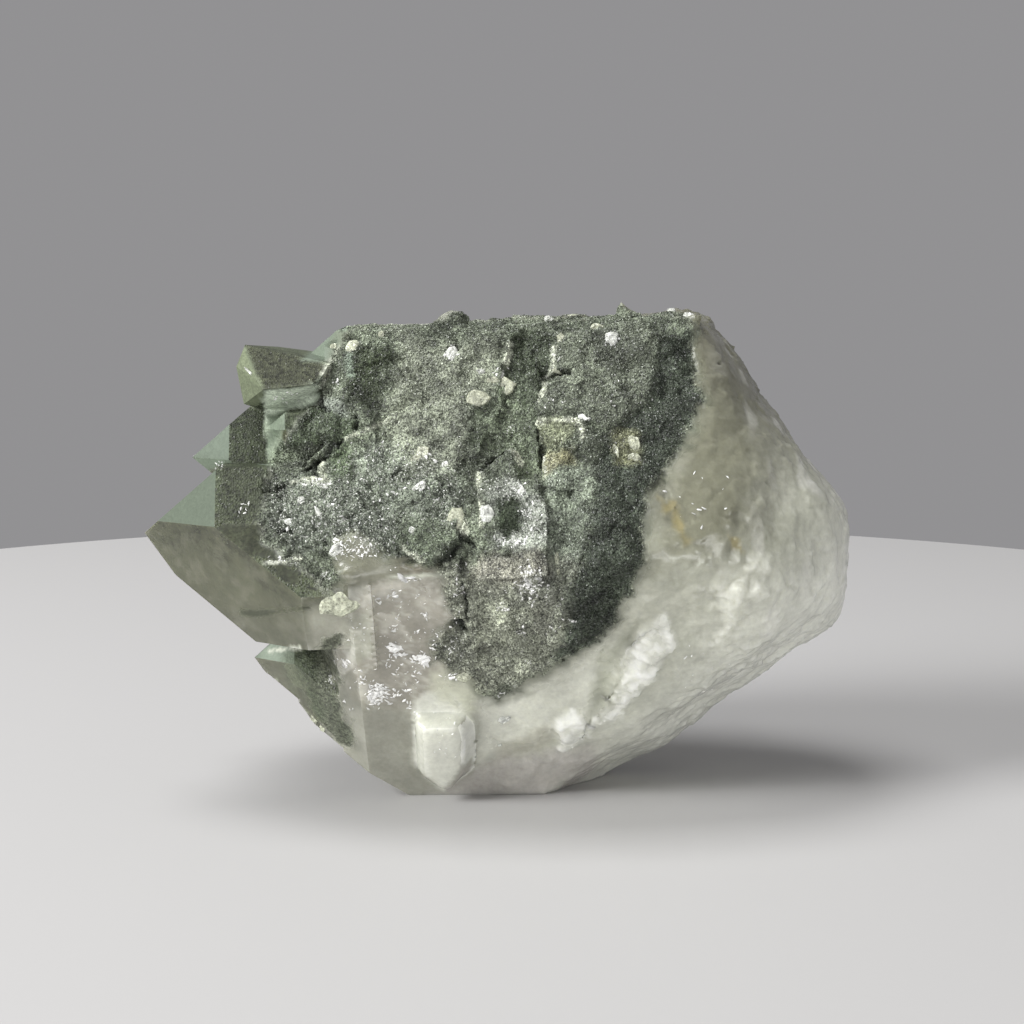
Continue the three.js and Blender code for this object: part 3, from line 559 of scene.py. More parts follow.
# The clean lower front: a clear window, a smooth grey face, a low glassy edge.
WINDOW = [(-18.4, 21.7), (-15.1, 24), (-6.1, 24.4), (-4.9, 21.7), (-4.3, 11.1),
    (-10.8, 8.5), (-17.9, 9.2), (-19.9, 14.7), (-19.2, 18.2)]
CLOUD_PANE = [(-18.7, 20.3), (-15.2, 20.8), (-15.2, 15.3), (-17.9, 14.3), (-19, 17)]
GREY_FACE = [(-18.5, 9), (-10.8, 8.7), (-10.6, 1.9), (-7.2, -0.8), (-4.3, 1.9),
    (-4.1, -0.8), (-11.1, -2), (-16.3, 1)]
LOW_GLASS = [(-4.5, 1.6), (0, 3.2), (5.5, 3.8), (9.9, 4), (11, 1.6), (4.7, -2),
    (-11.1, -2.2), (-7.6, -1.3)]
VEIL = [(-23.3, 15.3), (-21.1, 17.5), (-18.3, 17.7), (-19.6, 14.7), (-19, 9.9),
    (-17.2, 4.2), (-18.6, 3.8), (-21.2, 7.6), (-23.1, 11.1)]
VEIL_GREEN = [(-25.6, 15.3), (-23.3, 15.8), (-23.1, 11.1), (-21.6, 8.5), (-23.7, 9.9),
    (-25.4, 12.3)]
lower = ramp(-x_here, 2.0, 4.5) * ramp(-z_here, -26.0, -23.0)
lower *= ramp(x_here, -21.5, -20.0)
coat(lower * front_here, (196, 196, 180), 0.40, 0.18, 0.0)
coat(on_front(WINDOW, 0.6, 2.4), (222, 219, 204), 0.40, 0.12, 0.0)
WARM_PANE = [(-15, 24), (-6.5, 24.4), (-4.9, 21.7), (-4.7, 17), (-7.5, 11.1),
    (-12.2, 8.5), (-14.9, 9.4), (-15.2, 14.7)]
coat(0.7 * on_front(WARM_PANE, 0.3, 1.0), (211, 207, 194), 0.45, 0.10)
coat(0.9 * on_front(HAZE, 0.6, 1.6), (146, 146, 130), 0.25, 0.25, 0.0)
BROWN_STRIP = [(-13.2, 26.5), (-9.7, 26), (-6.7, 25.8), (-6.7, 24.7), (-12, 24.7)]
coat(0.8 * on_front(BROWN_STRIP, 0.2, 0.6), (128, 121, 104), 0.3, 0.2)
coat(0.8 * on_front(CLOUD_PANE, 0.3, 1.2), (204, 206, 191), 0.15, 0.2)
# Painted shade: the left-facing faces of the strip left of the window, lit from the left,
# are painted darker.
LEFT_STRIP = [(-21.6, 13.3), (-20.2, 14.9), (-17.7, 13.7), (-15.4, 11.1), (-14.9, 9.4),
    (-13.6, 0.7), (-15.0, 1.4), (-17.8, 4.2), (-19.3, 7.3)]
left_facing_painted_shade = ramp(-facing[:, 0], 0.05, 0.3)
coat(0.85 * on_front(LEFT_STRIP, 0.3, 1.6) * left_facing_painted_shade, (142, 143, 130), 0.4, 0.2)
bent = spots + 1.2 * MM * np.stack(
    [waves(spots, 1.7, seed) for seed in (71, 72, 73)], axis=1
)
murk = ramp(facets(bent, 2.6, 55) + 0.5 * facets(bent, 1.1, 56), -0.5, 0.6)[at]
coat(0.40 * on_front(WINDOW, 0.6, 2.4) * (1 - murk), (166, 162, 146))
coat(0.45 * on_front(WINDOW, 0.6, 2.4) * ramp(murk, 0.6, 1.0), (232, 230, 219), 0.15)
coat(0.5 * on_front(HAZE, 0.6, 1.6) * (1 - murk), (126, 127, 108))
coat(0.4 * on_front(CLOUD_PANE, 0.3, 1.2) * (1 - murk), (164, 166, 150))
coat(on_front(GREY_FACE, 0.5, 2.0), (192, 192, 178), 0.40, 0.20, 0.0)
# The low glassy edge faces down; its pale grey is partly painted light, lightened against
# its shade.
coat(0.9 * on_front(LOW_GLASS, 0.6, 3.0), (215, 211, 204), 0.35, 0.16)
coat(0.9 * on_front(VEIL, 1.0, 1.4), (74, 80, 64), 0.0, 0.5, 1.0)
coat(0.7 * on_front(VEIL_GREEN, 0.9, 2.4), (86, 94, 76), 0.0, 0.4, 0.5)
point = on_front(HANGING, 0.25, 0.8)
coat(point, (218, 219, 208), 0.03, 0.26)
# Painted shade and light on the hanging point, to flatten its lighting: faces turned up or
# to the left are painted darker, faces turned to the right, in shade, lighter.
coat(0.4 * point * ramp(facing[:, 2], 0.0, 0.7), (172, 174, 158))
coat(0.45 * point * ramp(-facing[:, 0], 0.2, 0.9), (180, 182, 168))
coat(0.7 * point * ramp(facing[:, 0], 0.0, 0.7), (250, 251, 243))
# Painted light: the shaded right-facing side beside the hanging point is painted nearly
# white.
PAINTED_LIGHT_BESIDE = [(-4.7, 10.4), (-2.8, 10.0), (-2.4, 5.0), (-4.3, 1.8), (-5.0, 3.0)]
coat(0.85 * on_front(PAINTED_LIGHT_BESIDE, 0.1, 0.6) * ramp(facing[:, 0], 0.0, 0.5), (250, 251, 243))
MILK_ABOVE = [(-8.6, 11.6), (-8.2, 14.2), (-6.6, 13.4), (-3.4, 12.6), (-2.6, 9.8),
    (-4.4, 8.4), (-7.6, 10.6)]
coat(0.85 * on_front(MILK_ABOVE, 0.5, 1.6), (208, 210, 190), 0.05, 0.3)

# Snowy broken ridges and rust-coloured films on the milky quartz, with painted shade on its
# upper middle and hollow and painted light on its ledges.
RUST = [(17.5, 34.2), (19.0, 33.0), (19.6, 31.0), (21.1, 28.5), (20.6, 28.4),
    (19.1, 31.0), (17.8, 32.5)]
RUST_RIGHT = [(25.7, 28.9), (26.7, 28.7), (27, 27.5), (26.1, 27.8)]
ragged = ramp(facets(spots, 1.6, 57) + 0.6 * waves(spots, 2.0, 58), -0.35, 0.35)[at]
# Painted shade: the upper middle of the milky quartz next to the crust is painted darker.
UPPER_MID_PAINTED_SHADE = [(17.1, 34.4), (21.0, 42.4), (24.3, 48.1), (27.5, 43.6), (29.5, 36.7),
    (29.0, 30.0), (25.8, 27.5), (17.2, 25.2)]
coat(on_front(UPPER_MID_PAINTED_SHADE, 1.0, 7.0) * milky_here, (132, 132, 114))
# Painted shade: the hollow under the ledges is painted darker.
coat(0.6 * hollow[at] * milky_here * front_here, (172, 175, 154), 0.1)
edge_snow = ridge[at] * milky_here * front_here
coat(0.9 * edge_snow * (0.45 + 0.55 * ragged), (243, 244, 237), 0.0, 0.35)
# Painted light: the ledges are painted lighter, as highlights on their edges.
coat(0.5 * shelf[at] * milky_here * front_here, (228, 229, 217), 0.0, 0.3)
WEDGE = [(-0.8, 4.6), (1.7, 5.8), (4.6, 7.3), (6.4, 5.8), (4.1, 4.0), (0.0, 3.2),
    (-2.9, 2.2)]
coat(0.5 * on_front(WEDGE, 0.2, 1.0) * milky_here, (158, 155, 138), 0.15)
flecks = ramp(waves(spots, 0.8, 64) + 0.6 * waves(spots, 2.4, 65), 0.55, 0.95)[at]
coat(0.25 * flecks * milky_here * ramp(-z_here, -32.0, -26.0), (232, 233, 222))
rust = np.maximum(on_front(RUST, 0.5, 1.0), on_front(RUST_RIGHT, 0.3, 0.6))
coat(0.55 * rust, (164, 151, 99))
coat(cracked[at] * (1 - crust_here), (70, 74, 58), 0.0, 0.6)
coat(rimmed[at] * (1 - crust_here), (200, 203, 188), 0.0, 0.3)
green_haze = ramp(inside(here, CRUST) + 0.7 * grit_here, -1.6, 0.5) * front_here
green_haze *= ramp(x_here, -20.5, -18.0)
coat(0.85 * green_haze, (112, 116, 98), 0.15, 0.4)
stony = (speckle > 0.08) & (clear < 0.2)

# The crust over all that: sandy in the upper middle, and dark at the right, where the dark
# is painted shade on the faces turned from the light.
under = tint.copy()
tint = np.tile(linear(108, 115, 99), (len(at), 1))
SAND = [(-12.4, 52.6), (-7.6, 50.9), (0.8, 51.1), (-0.1, 48.7), (-1.7, 44.9),
    (-3.9, 43.6), (-4.4, 39.6), (-6.2, 36.7), (-9.1, 35.6), (-11.9, 36.7),
    (-13.6, 41.9), (-12.7, 47)]
DARK_CORNER = [(-17.4, 50.9), (-12.7, 51.5), (-11.8, 50.1), (-13.2, 45.3), (-15, 43),
    (-17.5, 44.7), (-18, 47.9)]
MINT_STRIP = [(-17.9, 50), (-17.1, 50), (-17.1, 47.2), (-17.9, 47.2)]
PAINTED_SHADE_RIGHT = [(12.5, 41.8), (16.4, 44.7), (16.9, 51.5), (20.9, 52.6), (22.1, 46.4),
    (22.9, 44.5), (20.9, 41.8), (18.1, 36.4), (17.2, 34.7), (16.3, 34), (15.9, 26.9),
    (12.7, 19.4), (9.2, 15.8), (5.9, 14.7), (7, 19.4), (7.7, 23.9), (8.6, 26.4),
    (9.8, 31.4), (10.3, 35.1), (10.9, 38.9)]
PALE_FACE = [(3.3, 43.4), (4.1, 42.2), (8.4, 42.4), (7.5, 40.3), (5.6, 38.9),
    (4.7, 38)]
YELLOW = [(5.6, 39.4), (7.7, 39.5), (7.9, 37.8), (5.8, 37.6)]
FLUTES = [(4.4, 38.7), (5.8, 38.9), (5.6, 37), (4.6, 35.8)]
PALE_LOW = [(11.8, 41.3), (12.8, 41.8), (15.3, 41.1), (15.4, 37.6), (12.9, 37.6)]
GLASSY_A = [(-3.1, 26.1), (0.4, 26.4), (0.8, 23.5), (-0.8, 21.7), (-3.1, 22.9)]
GLASSY_B = [(3.1, 21.7), (5.4, 22.2), (5.9, 19.4), (5, 17), (3.1, 18)]
SNOW_PATCH = [(1.4, 25.2), (4.6, 25.7), (4.9, 22.2), (1.7, 21.7)]
PIT_SUGAR = [(-1.2, 34.6), (1.2, 35.4), (4.4, 32.6), (4.6, 28.6), (1.4, 27.6),
    (-0.8, 28.2)]
APRON = [(-7, 26.4), (10.9, 26.4), (12.7, 19.4), (4.6, 13.5), (-2.9, 10.3), (-8, 13)]
GREY_STEP = [(-3.9, 26.9), (4.7, 27.3), (4.7, 24.9), (1.7, 23.7), (-3.9, 24.1)]
CHANNEL = [(0.6, 52.4), (3.2, 52.6), (5.2, 51.4), (5.2, 47.8), (3.6, 43.8), (1.2, 44.4),
    (0.4, 48.4)]
GREY_PATCH = [(-21.1, 44.9), (-18.4, 44.7), (-18.1, 43.4), (-17.3, 41.9),
    (-18.7, 40.2), (-19.8, 42.7), (-21.4, 43.6)]
coat(sparkly[at], (117, 124, 110))
for outline, share, frayed, soft, colour_of in (
    (SAND, 1.0, 0.8, 3.0, (124, 129, 114)),
    (GREEN_PLATE, 1.0, 0.5, 1.0, (113, 119, 104)),
    (PAINTED_SHADE_RIGHT, 1.0, 0.7, 1.4, (72, 79, 67)),
    (LIT_SLOPE, 1.0, 0.5, 1.0, (149, 158, 140)),
    (DARK_PLATE, 1.0, 0.3, 0.8, (116, 125, 105)),
    (CHANNEL, 1.0, 0.4, 1.2, (87, 95, 78)),
    (DARK_CORNER, 1.0, 0.7, 1.6, (51, 57, 43)),
    (LUMP, 1.0, 0.4, 1.2, (99, 107, 90)),
    (GREY_PATCH, 1.0, 0.2, 0.8, (140, 147, 135)),
    (STEP_A, 1.0, 0.25, 0.6, (89, 99, 79)),
    (STEP_B, 1.0, 0.25, 0.6, (89, 99, 79)),
    (STEP_C, 1.0, 0.25, 0.6, (89, 99, 79)),
    (PALE_BAND, 1.0, 0.2, 0.6, (134, 144, 122)),
    (MINT_STRIP, 1.0, 0.05, 0.3, (137, 149, 133)),
    (SHOULDER, 1.0, 0.1, 0.6, (126, 138, 122)),
    (PALE_FACE, 0.9, 0.3, 0.6, (150, 156, 129)),
    (YELLOW, 0.5, 0.5, 1.2, (160, 154, 116)),
    (FLUTES, 1.0, 0.2, 0.5, (190, 190, 158)),
    (PALE_LOW, 0.7, 0.4, 0.8, (140, 142, 112)),
    (GLASSY_A, 0.85, 0.4, 0.6, (146, 145, 138)),
    (GLASSY_B, 0.85, 0.4, 0.6, (146, 145, 138)),
    (SNOW_PATCH, 0.55, 0.8, 1.2, (196, 199, 190)),
    (PIT_SUGAR, 0.7, 0.9, 1.2, (178, 183, 172)),
    (PIT, 0.85, 0.3, 0.8, (80, 92, 70)),
):
    coat(share * on_front(outline, frayed, soft), colour_of)
clear_of_painted_shade = 1 - on_front(PAINTED_SHADE_RIGHT, 0.7, 1.4)
coat(0.8 * on_front(APRON, 0.8, 2.0) * clear_of_painted_shade, (148, 151, 136))
coat(0.7 * on_front(GREY_STEP, 0.6, 1.4), (122, 120, 110))
# Flake by flake shade, light rims and dark cracks finish the crust.
patchy = ramp(waves(spots, 7.0, 51) + 0.7 * waves(spots, 2.4, 52), -0.8, 0.9)
flakes = cells(spots + 0.6 * MM * waves(spots, 1.5, 53)[:, None], 3.4, 54)
small_flakes = cells(spots + 0.4 * MM * waves(spots, 1.0, 59)[:, None], 1.5, 60)
mottle = (0.71 + 0.48 * patchy) * (0.74 + 0.48 * flakes) * (0.60 + 0.74 * small_flakes)
tint = tint * mottle[at][:, None]
coat(rimmed[at], (196, 200, 182))
coat(cracked[at], (30, 35, 26))
tint = under * (1 - crust_here[:, None]) + tint * crust_here[:, None]
clear = clear * (1 - crust_here)
CRUST_DULLNESS = 0.62
dull = dull * (1 - crust_here) + CRUST_DULLNESS * crust_here
speckle = speckle * (1 - crust_here) + crust_here
stony |= crust_here > 0.45

ones = np.ones((len(at), 1))
mesh.color_attributes.new("tint", "FLOAT_COLOR", "CORNER").data.foreach_set(
    "color", np.concatenate([tint, ones], axis=1).ravel()
)
mesh.color_attributes.new("finish", "FLOAT_COLOR", "CORNER").data.foreach_set(
    "color", np.stack([speckle, clear, dull, ones[:, 0]], axis=1).ravel()
)


def node_maker(tree):
    """Two shortcuts for a tree of nodes: add a node with its wires, and wire a node."""

    def wire(target, sources):
        for label, source in sources.items():
            tree.links.new(source, target.inputs[label])

    def node(kind, sources=None, **settings):
        made = tree.nodes.new(kind)
        for key, value in settings.items():
            if key.startswith("in_"):
                label = key[3:].replace("_", " ")
                found = [s for s in made.inputs if s.name == label and s.enabled]
                found[0].default_value = value
            else:
                setattr(made, key, value)
        wire(made, sources or {})
        return made

    return node, wire


def new_material(name, **settings):
    """A material of one shader with these settings, and what adds to it."""
    made = bpy.data.materials.new(name)
    made.use_nodes = True
    made.node_tree.nodes.clear()
    node, wire = node_maker(made.node_tree)
    shader = node("ShaderNodeBsdfPrincipled", **settings)
    output = node("ShaderNodeOutputMaterial", {"Surface": shader.outputs["BSDF"]})
    return made, node, wire, shader, output


def shaded_tint(node, strength):
    """The colour laid on the piece, made lighter or darker by this strength."""
    tint_in = node("ShaderNodeAttribute", attribute_name="tint")
    colour = node(
        "ShaderNodeMix", {"A": tint_in.outputs["Color"], "B": strength},
        data_type="RGBA", blend_type="MULTIPLY", in_Factor=1.0,
    )
    return colour.outputs["Result"]


QUARTZ_IOR = 1.544


def stone_material(name, glassy):
    """Quartz: glassy where it is clear or milky, matt where chlorite fills or coats it."""
    made, node, wire, shader, output = new_material(name, in_IOR=QUARTZ_IOR)
    place = {"Vector": node("ShaderNodeTexCoord").outputs["Object"]}
    finish_in = node("ShaderNodeAttribute", attribute_name="finish")
    parts = node("ShaderNodeSeparateColor", {"Color": finish_in.outputs["Color"]})
    speckle_by, clear_by, dull_by = (parts.outputs[c] for c in ("Red", "Green", "Blue"))

    def noise(scale, detail, low, high):
        pattern = node(
            "ShaderNodeTexNoise", place, in_Scale=scale, in_Detail=detail,
            in_Roughness=0.65,
        )
        height = pattern.outputs["Fac"]
        spread = node(
            "ShaderNodeMapRange", {"Value": height}, in_From_Min=0.3, in_From_Max=0.7,
            in_To_Min=low, in_To_Max=high,
        )
        return height, spread.outputs["Result"]

    def times(a, b):
        both = node("ShaderNodeMath", {0: a, 1: b}, operation="MULTIPLY")
        return both.outputs["Value"]

    def bump(height, under=None, **settings):
        sources = {"Height": height}
        if under is not None:
            sources["Normal"] = under.outputs["Normal"]
        return node("ShaderNodeBump", sources, **settings)

    grains = node("ShaderNodeTexVoronoi", place, in_Scale=4200.0)
    own = node("ShaderNodeSeparateColor", {"Color": grains.outputs["Color"]})
    each = node(
        "ShaderNodeMapRange", {"Value": own.outputs["Red"]},
        in_To_Min=0.40, in_To_Max=1.55,
    )
    coarse_height, coarse_shade = noise(900.0, 4.0, 0.62, 1.35)
    speckled = times(each.outputs["Result"], coarse_shade)
    mixed = node(
        "ShaderNodeMix", {"Factor": speckle_by, "B": speckled},
        data_type="FLOAT", in_A=1.0,
    )
    strength = mixed.outputs["Result"]
    if glassy:
        shader.inputs["Subsurface Weight"].default_value = 0.7
        shader.inputs["Subsurface Radius"].default_value = (1.0, 1.0, 0.9)
        shader.inputs["Subsurface Scale"].default_value = 2.0 * MM
        green = (0.80, 0.84, 0.74, 1.0)
        haze = node("ShaderNodeVolumeAbsorption", in_Color=green, in_Density=25.0)
        wire(output, {"Volume": haze.outputs["Volume"]})
        soft_height, soft_shade = noise(260.0, 5.0, 0.84, 1.10)
        fine_height, fine_shade = noise(1700.0, 5.0, 0.90, 1.08)
        strength = times(strength, times(soft_shade, fine_shade))
        fine_bump = bump(fine_height, in_Distance=0.00009, in_Strength=0.35)
        last_bump = bump(soft_height, fine_bump, in_Distance=0.0003, in_Strength=0.25)
        wire(shader, {"Transmission Weight": clear_by, "Roughness": dull_by})
    else:
        shader.inputs["Specular IOR Level"].default_value = 0.28
        sparkle = node(
            "ShaderNodeMapRange", {"Value": own.outputs["Green"]},
            in_From_Min=0.90, in_From_Max=0.96, in_To_Max=0.42,
        )
        glint = times(sparkle.outputs["Result"], speckle_by)
        rough = node(
            "ShaderNodeMath", {0: dull_by, 1: glint}, operation="SUBTRACT",
            use_clamp=True,
        )
        coarse_bump = bump(coarse_height, in_Distance=0.00018)
        last_bump = bump(grains.outputs["Distance"], coarse_bump, in_Distance=0.00012)
        wire(coarse_bump, {"Strength": speckle_by})
        wire(last_bump, {"Strength": speckle_by})
        wire(shader, {"Roughness": rough.outputs["Value"]})
    base = shaded_tint(node, strength)
    wire(shader, {"Base Color": base, "Normal": last_bump.outputs["Normal"]})
    return made


mesh.materials.append(stone_material("clear_and_milky_quartz", True))
mesh.materials.append(stone_material("chlorite_stone", False))
mesh.polygons.foreach_set(
    "material_index", (stony.reshape(-1, 3).mean(1) > 0.5).astype(np.int32)
)
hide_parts("chlorite_quartz")
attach(body, "root")

# ---------------------------------------------------------------------------
# Loose chlorite: a skin of tiny plates, about a third of a millimetre wide, that grew
# every way on the crust. Each is a thin tilted three-sided block with its own shade.
# ---------------------------------------------------------------------------
CHLORITE_IOR = 1.58
chlorite, node, wire, shader, _ = new_material(
    "chlorite_plates", in_IOR=CHLORITE_IOR, in_Roughness=0.42
)


def dusty_strength(node, noise, **spread):
    """A fine unevenness of colour over the piece, and the pattern it comes from."""
    place = node("ShaderNodeTexCoord")
    dust = node("ShaderNodeTexNoise", {"Vector": place.outputs["Object"]}, **noise)
    strength = node("ShaderNodeMapRange", {"Value": dust.outputs["Fac"]}, **spread)
    return strength.outputs["Result"], dust.outputs["Fac"]


shade_in = node("ShaderNodeAttribute", attribute_name="shade")
own_shade = node(
    "ShaderNodeMapRange", {"Value": shade_in.outputs["Fac"]},
    in_To_Min=0.20, in_To_Max=1.90,
)
dust, _ = dusty_strength(
    node, dict(in_Scale=3000.0, in_Detail=2.0), in_To_Min=0.75, in_To_Max=1.25
)
both = node(
    "ShaderNodeMath", {0: own_shade.outputs["Result"], 1: dust}, operation="MULTIPLY"
)
wire(shader, {"Base Color": shaded_tint(node, both.outputs["Value"])})


def ground(name, keep):
    """A throwaway copy of the body with only the faces that this test keeps."""
    patch = body.data.copy()
    patch.materials.clear()
    bm = bmesh.new()
    bm.from_mesh(patch)
    bm.faces.ensure_lookup_table()
    bmesh.ops.delete(
        bm, geom=[f for f, k in zip(bm.faces, keep) if not k], context="FACES"
    )
    bm.to_mesh(patch)
    bm.free()
    holder = bpy.data.objects.new(name, patch)
    bpy.context.scene.collection.objects.link(holder)
    return holder


def scatter_tree(name, shape, **sizes):
    """Nodes that scatter small turned and squashed copies of one shape over a surface."""
    tree = bpy.data.node_groups.new(name, "GeometryNodeTree")
    for label, kind, side in (
        ("Geometry", "Geometry", "INPUT"), ("Density", "Float", "INPUT"),
        ("Size", "Float", "INPUT"), ("Thickness", "Float", "INPUT"),
        ("Tilt", "Float", "INPUT"), ("Seed", "Int", "INPUT"),
        ("Finish", "Material", "INPUT"), ("Geometry", "Geometry", "OUTPUT"),
    ):
        tree.interface.new_socket(label, in_out=side, socket_type="NodeSocket" + kind)
    node, _ = node_maker(tree)
    given = node("NodeGroupInput").outputs
    spread = node(
        "GeometryNodeDistributePointsOnFaces",
        {"Mesh": given["Geometry"], "Density": given["Density"], "Seed": given["Seed"]},
    )
    unit = node(shape, **sizes)

    def random(kind, seed, sources=None, **limits):
        """A number or vector for each copy, from its own run of random numbers."""
        wires = {"Seed": seed, **(sources or {})}
        chance = node("FunctionNodeRandomValue", wires, data_type=kind, **limits)
        return next(s for s in chance.outputs if s.enabled)

    def seed_after(more):
        later = node("ShaderNodeMath", {1: given["Seed"]}, operation="ADD", in_Value=more)
        return later.outputs["Value"]

    # Each copy is spun any way round and leans by up to the tilt.
    most = node(
        "ShaderNodeCombineXYZ", {"X": given["Tilt"], "Y": given["Tilt"]}, in_Z=math.pi
    ).outputs["Vector"]
    least = node(
        "ShaderNodeVectorMath", {0: most}, operation="SCALE", in_Scale=-1.0
    ).outputs["Vector"]
    turn = random("FLOAT_VECTOR", given["Seed"], {"Min": least, "Max": most})
    as_turn = node("FunctionNodeEulerToRotation", {"Euler": turn})
    aligned = node(
        "FunctionNodeRotateRotation",
        {"Rotation": spread.outputs["Rotation"], "Rotate By": as_turn.outputs["Rotation"]},
        rotation_space="LOCAL",
    )
    # It is a little larger or smaller than its size and thickness each way.
    big = random(
        "FLOAT_VECTOR", seed_after(17.0), in_Min=(0.55, 0.55, 0.6), in_Max=(1.25, 1.25, 1.4)
    )
    flat = node(
        "ShaderNodeCombineXYZ",
        {"X": given["Size"], "Y": given["Size"], "Z": given["Thickness"]},
    )
    sized = node(
        "ShaderNodeVectorMath", {0: big, 1: flat.outputs["Vector"]}, operation="MULTIPLY"
    )
    stand = node(
        "GeometryNodeInstanceOnPoints",
        {
            "Points": spread.outputs["Points"], "Instance": unit.outputs["Mesh"],
            "Rotation": aligned.outputs["Rotation"], "Scale": sized.outputs["Vector"],
        },
    )
    note = node(
        "GeometryNodeStoreNamedAttribute",
        {
            "Geometry": stand.outputs["Instances"],
            "Value": random("FLOAT", seed_after(31.0)),
        },
        data_type="FLOAT", domain="INSTANCE", in_Name="shade",
    )
    real = node("GeometryNodeRealizeInstances", {"Geometry": note.outputs["Geometry"]})
    finish = node(
        "GeometryNodeSetMaterial",
        {"Geometry": real.outputs["Geometry"], "Material": given["Finish"]},
    )
    node("NodeGroupOutput", {"Geometry": finish.outputs["Geometry"]})
    return tree


def scatter(name, patch, tree, **values):
    """Run the nodes over a patch and keep the result as a plain mesh piece."""
    holder = bpy.data.objects.new(name, patch.data)
    bpy.context.scene.collection.objects.link(holder)
    grow = holder.modifiers.new("grow", "NODES")
    grow.node_group = tree
    for item in tree.interface.items_tree:
        if item.in_out == "INPUT" and item.name in values:
            grow[item.identifier] = values[item.name]
    made = bpy.data.meshes.new_from_object(
        holder.evaluated_get(bpy.context.evaluated_depsgraph_get())
    )
    holder.modifiers.remove(grow)
    holder.data = made
    made.polygons.foreach_set("use_smooth", np.zeros(len(made.polygons), bool))
    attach(holder, "root")


crusted = crust[at].reshape(-1, 3).mean(1) > 0.5
shown = in_front[at].reshape(-1, 3).mean(1) > 0.5
plates = scatter_tree(
    "plate_scatter", "GeometryNodeMeshCone",
    in_Vertices=3, in_Radius_Bottom=0.62, in_Depth=1.0,
)
middle = gather(mesh.polygons, "center", 3)
leftward = middle[:, 0] < 0.0
PLATE_SIZE, PLATE_THICKNESS = 0.27 * MM, 0.12 * MM
# Piece, the faces it grows on, seed, plates to the square metre.
for name, keep, seed, density in (
    ("chlorite_plates_left", crusted & shown & leftward, 5, 33.0e6),
    ("chlorite_plates_right", crusted & shown & ~leftward, 6, 33.0e6),
    ("chlorite_plates_back", crusted & ~shown, 7, 18.0e6),
):
    patch = ground("patch", keep)
    scatter(
        name, patch, plates, Density=density, Size=PLATE_SIZE,
        Thickness=PLATE_THICKNESS, Tilt=0.8, Seed=seed, Finish=chlorite,
    )
    bpy.data.objects.remove(patch)

# ---------------------------------------------------------------------------
# Quartz sugar: tiny glassy grains that glitter round the pit and over the rough left
# part of the crust. Each is a small many-sided crystal, grown on where it sits.
# ---------------------------------------------------------------------------
sugar, node, wire, shader, _ = new_material(
    "quartz_sugar", in_IOR=QUARTZ_IOR, in_Roughness=0.07, in_Transmission_Weight=0.25
)
shade_in = node("ShaderNodeAttribute", attribute_name="shade")
frost = node("ShaderNodeValToRGB", {"Fac": shade_in.outputs["Fac"]})
frost.color_ramp.elements[0].color = (0.35, 0.37, 0.31, 1.0)
frost.color_ramp.elements[1].color = (0.86, 0.87, 0.82, 1.0)
wire(shader, {"Base Color": frost.outputs["Color"]})

ROUND_PIT = [(-2.6, 35.6), (0.8, 36), (4.6, 33.3), (4.9, 28.1), (-0.6, 27.5),
    (-2.8, 31)]
grains = scatter_tree(
    "grain_scatter", "GeometryNodeMeshIcoSphere", in_Radius=0.5, in_Subdivisions=1
)
middle_chart = front_chart(middle)
middle_grit = grit[at].reshape(-1, 3).mean(1)
ring = inside(middle_chart, ROUND_PIT) + 0.8 * middle_grit > 0.3
ring &= inside(middle_chart, PIT) < 0.2
frothy = ring & (waves(middle, 2.2, 61) > -0.15)
rough_left = (inside(middle_chart, SPARKLY) > 0.3) & (waves(middle, 3.0, 62) > -0.35)
# Piece, the faces it grows on, seed, grains to the square metre, size in mm.
for name, keep, seed, density, size in (
    ("quartz_sugar_pit", frothy & shown, 8, 6.0e6, 0.30),
    ("quartz_sugar_left", rough_left & shown, 9, 7.0e6, 0.26),
):
    patch = ground("patch", keep)
    scatter(
        name, patch, grains, Density=density, Size=size * MM,
        Thickness=0.5 * size * MM, Tilt=1.5, Seed=seed, Finish=sugar,
    )
    bpy.data.objects.remove(patch)

# ---------------------------------------------------------------------------
# Chips: flat broken bits of quartz stuck in the crust, cream or snow white, each
# an uneven flake with bevelled sides, sunk a little into what it sits on.
# ---------------------------------------------------------------------------
chip_look, node, wire, shader, _ = new_material(
    "quartz_chips", in_IOR=QUARTZ_IOR, in_Roughness=0.22, in_Subsurface_Weight=0.3,
    in_Subsurface_Radius=(1.0, 1.0, 0.9), in_Subsurface_Scale=0.5 * MM,
)
uneven, crumble = dusty_strength(
    node, dict(in_Scale=2800.0, in_Detail=4.0, in_Roughness=0.7),
    in_From_Min=0.36, in_From_Max=0.66, in_To_Min=0.38, in_To_Max=1.18,
)
chip_bump = node(
    "ShaderNodeBump", {"Height": crumble}, in_Distance=0.0001, in_Strength=0.7
)
wire(
    shader,
    {"Base Color": shaded_tint(node, uneven), "Normal": chip_bump.outputs["Normal"]},
)

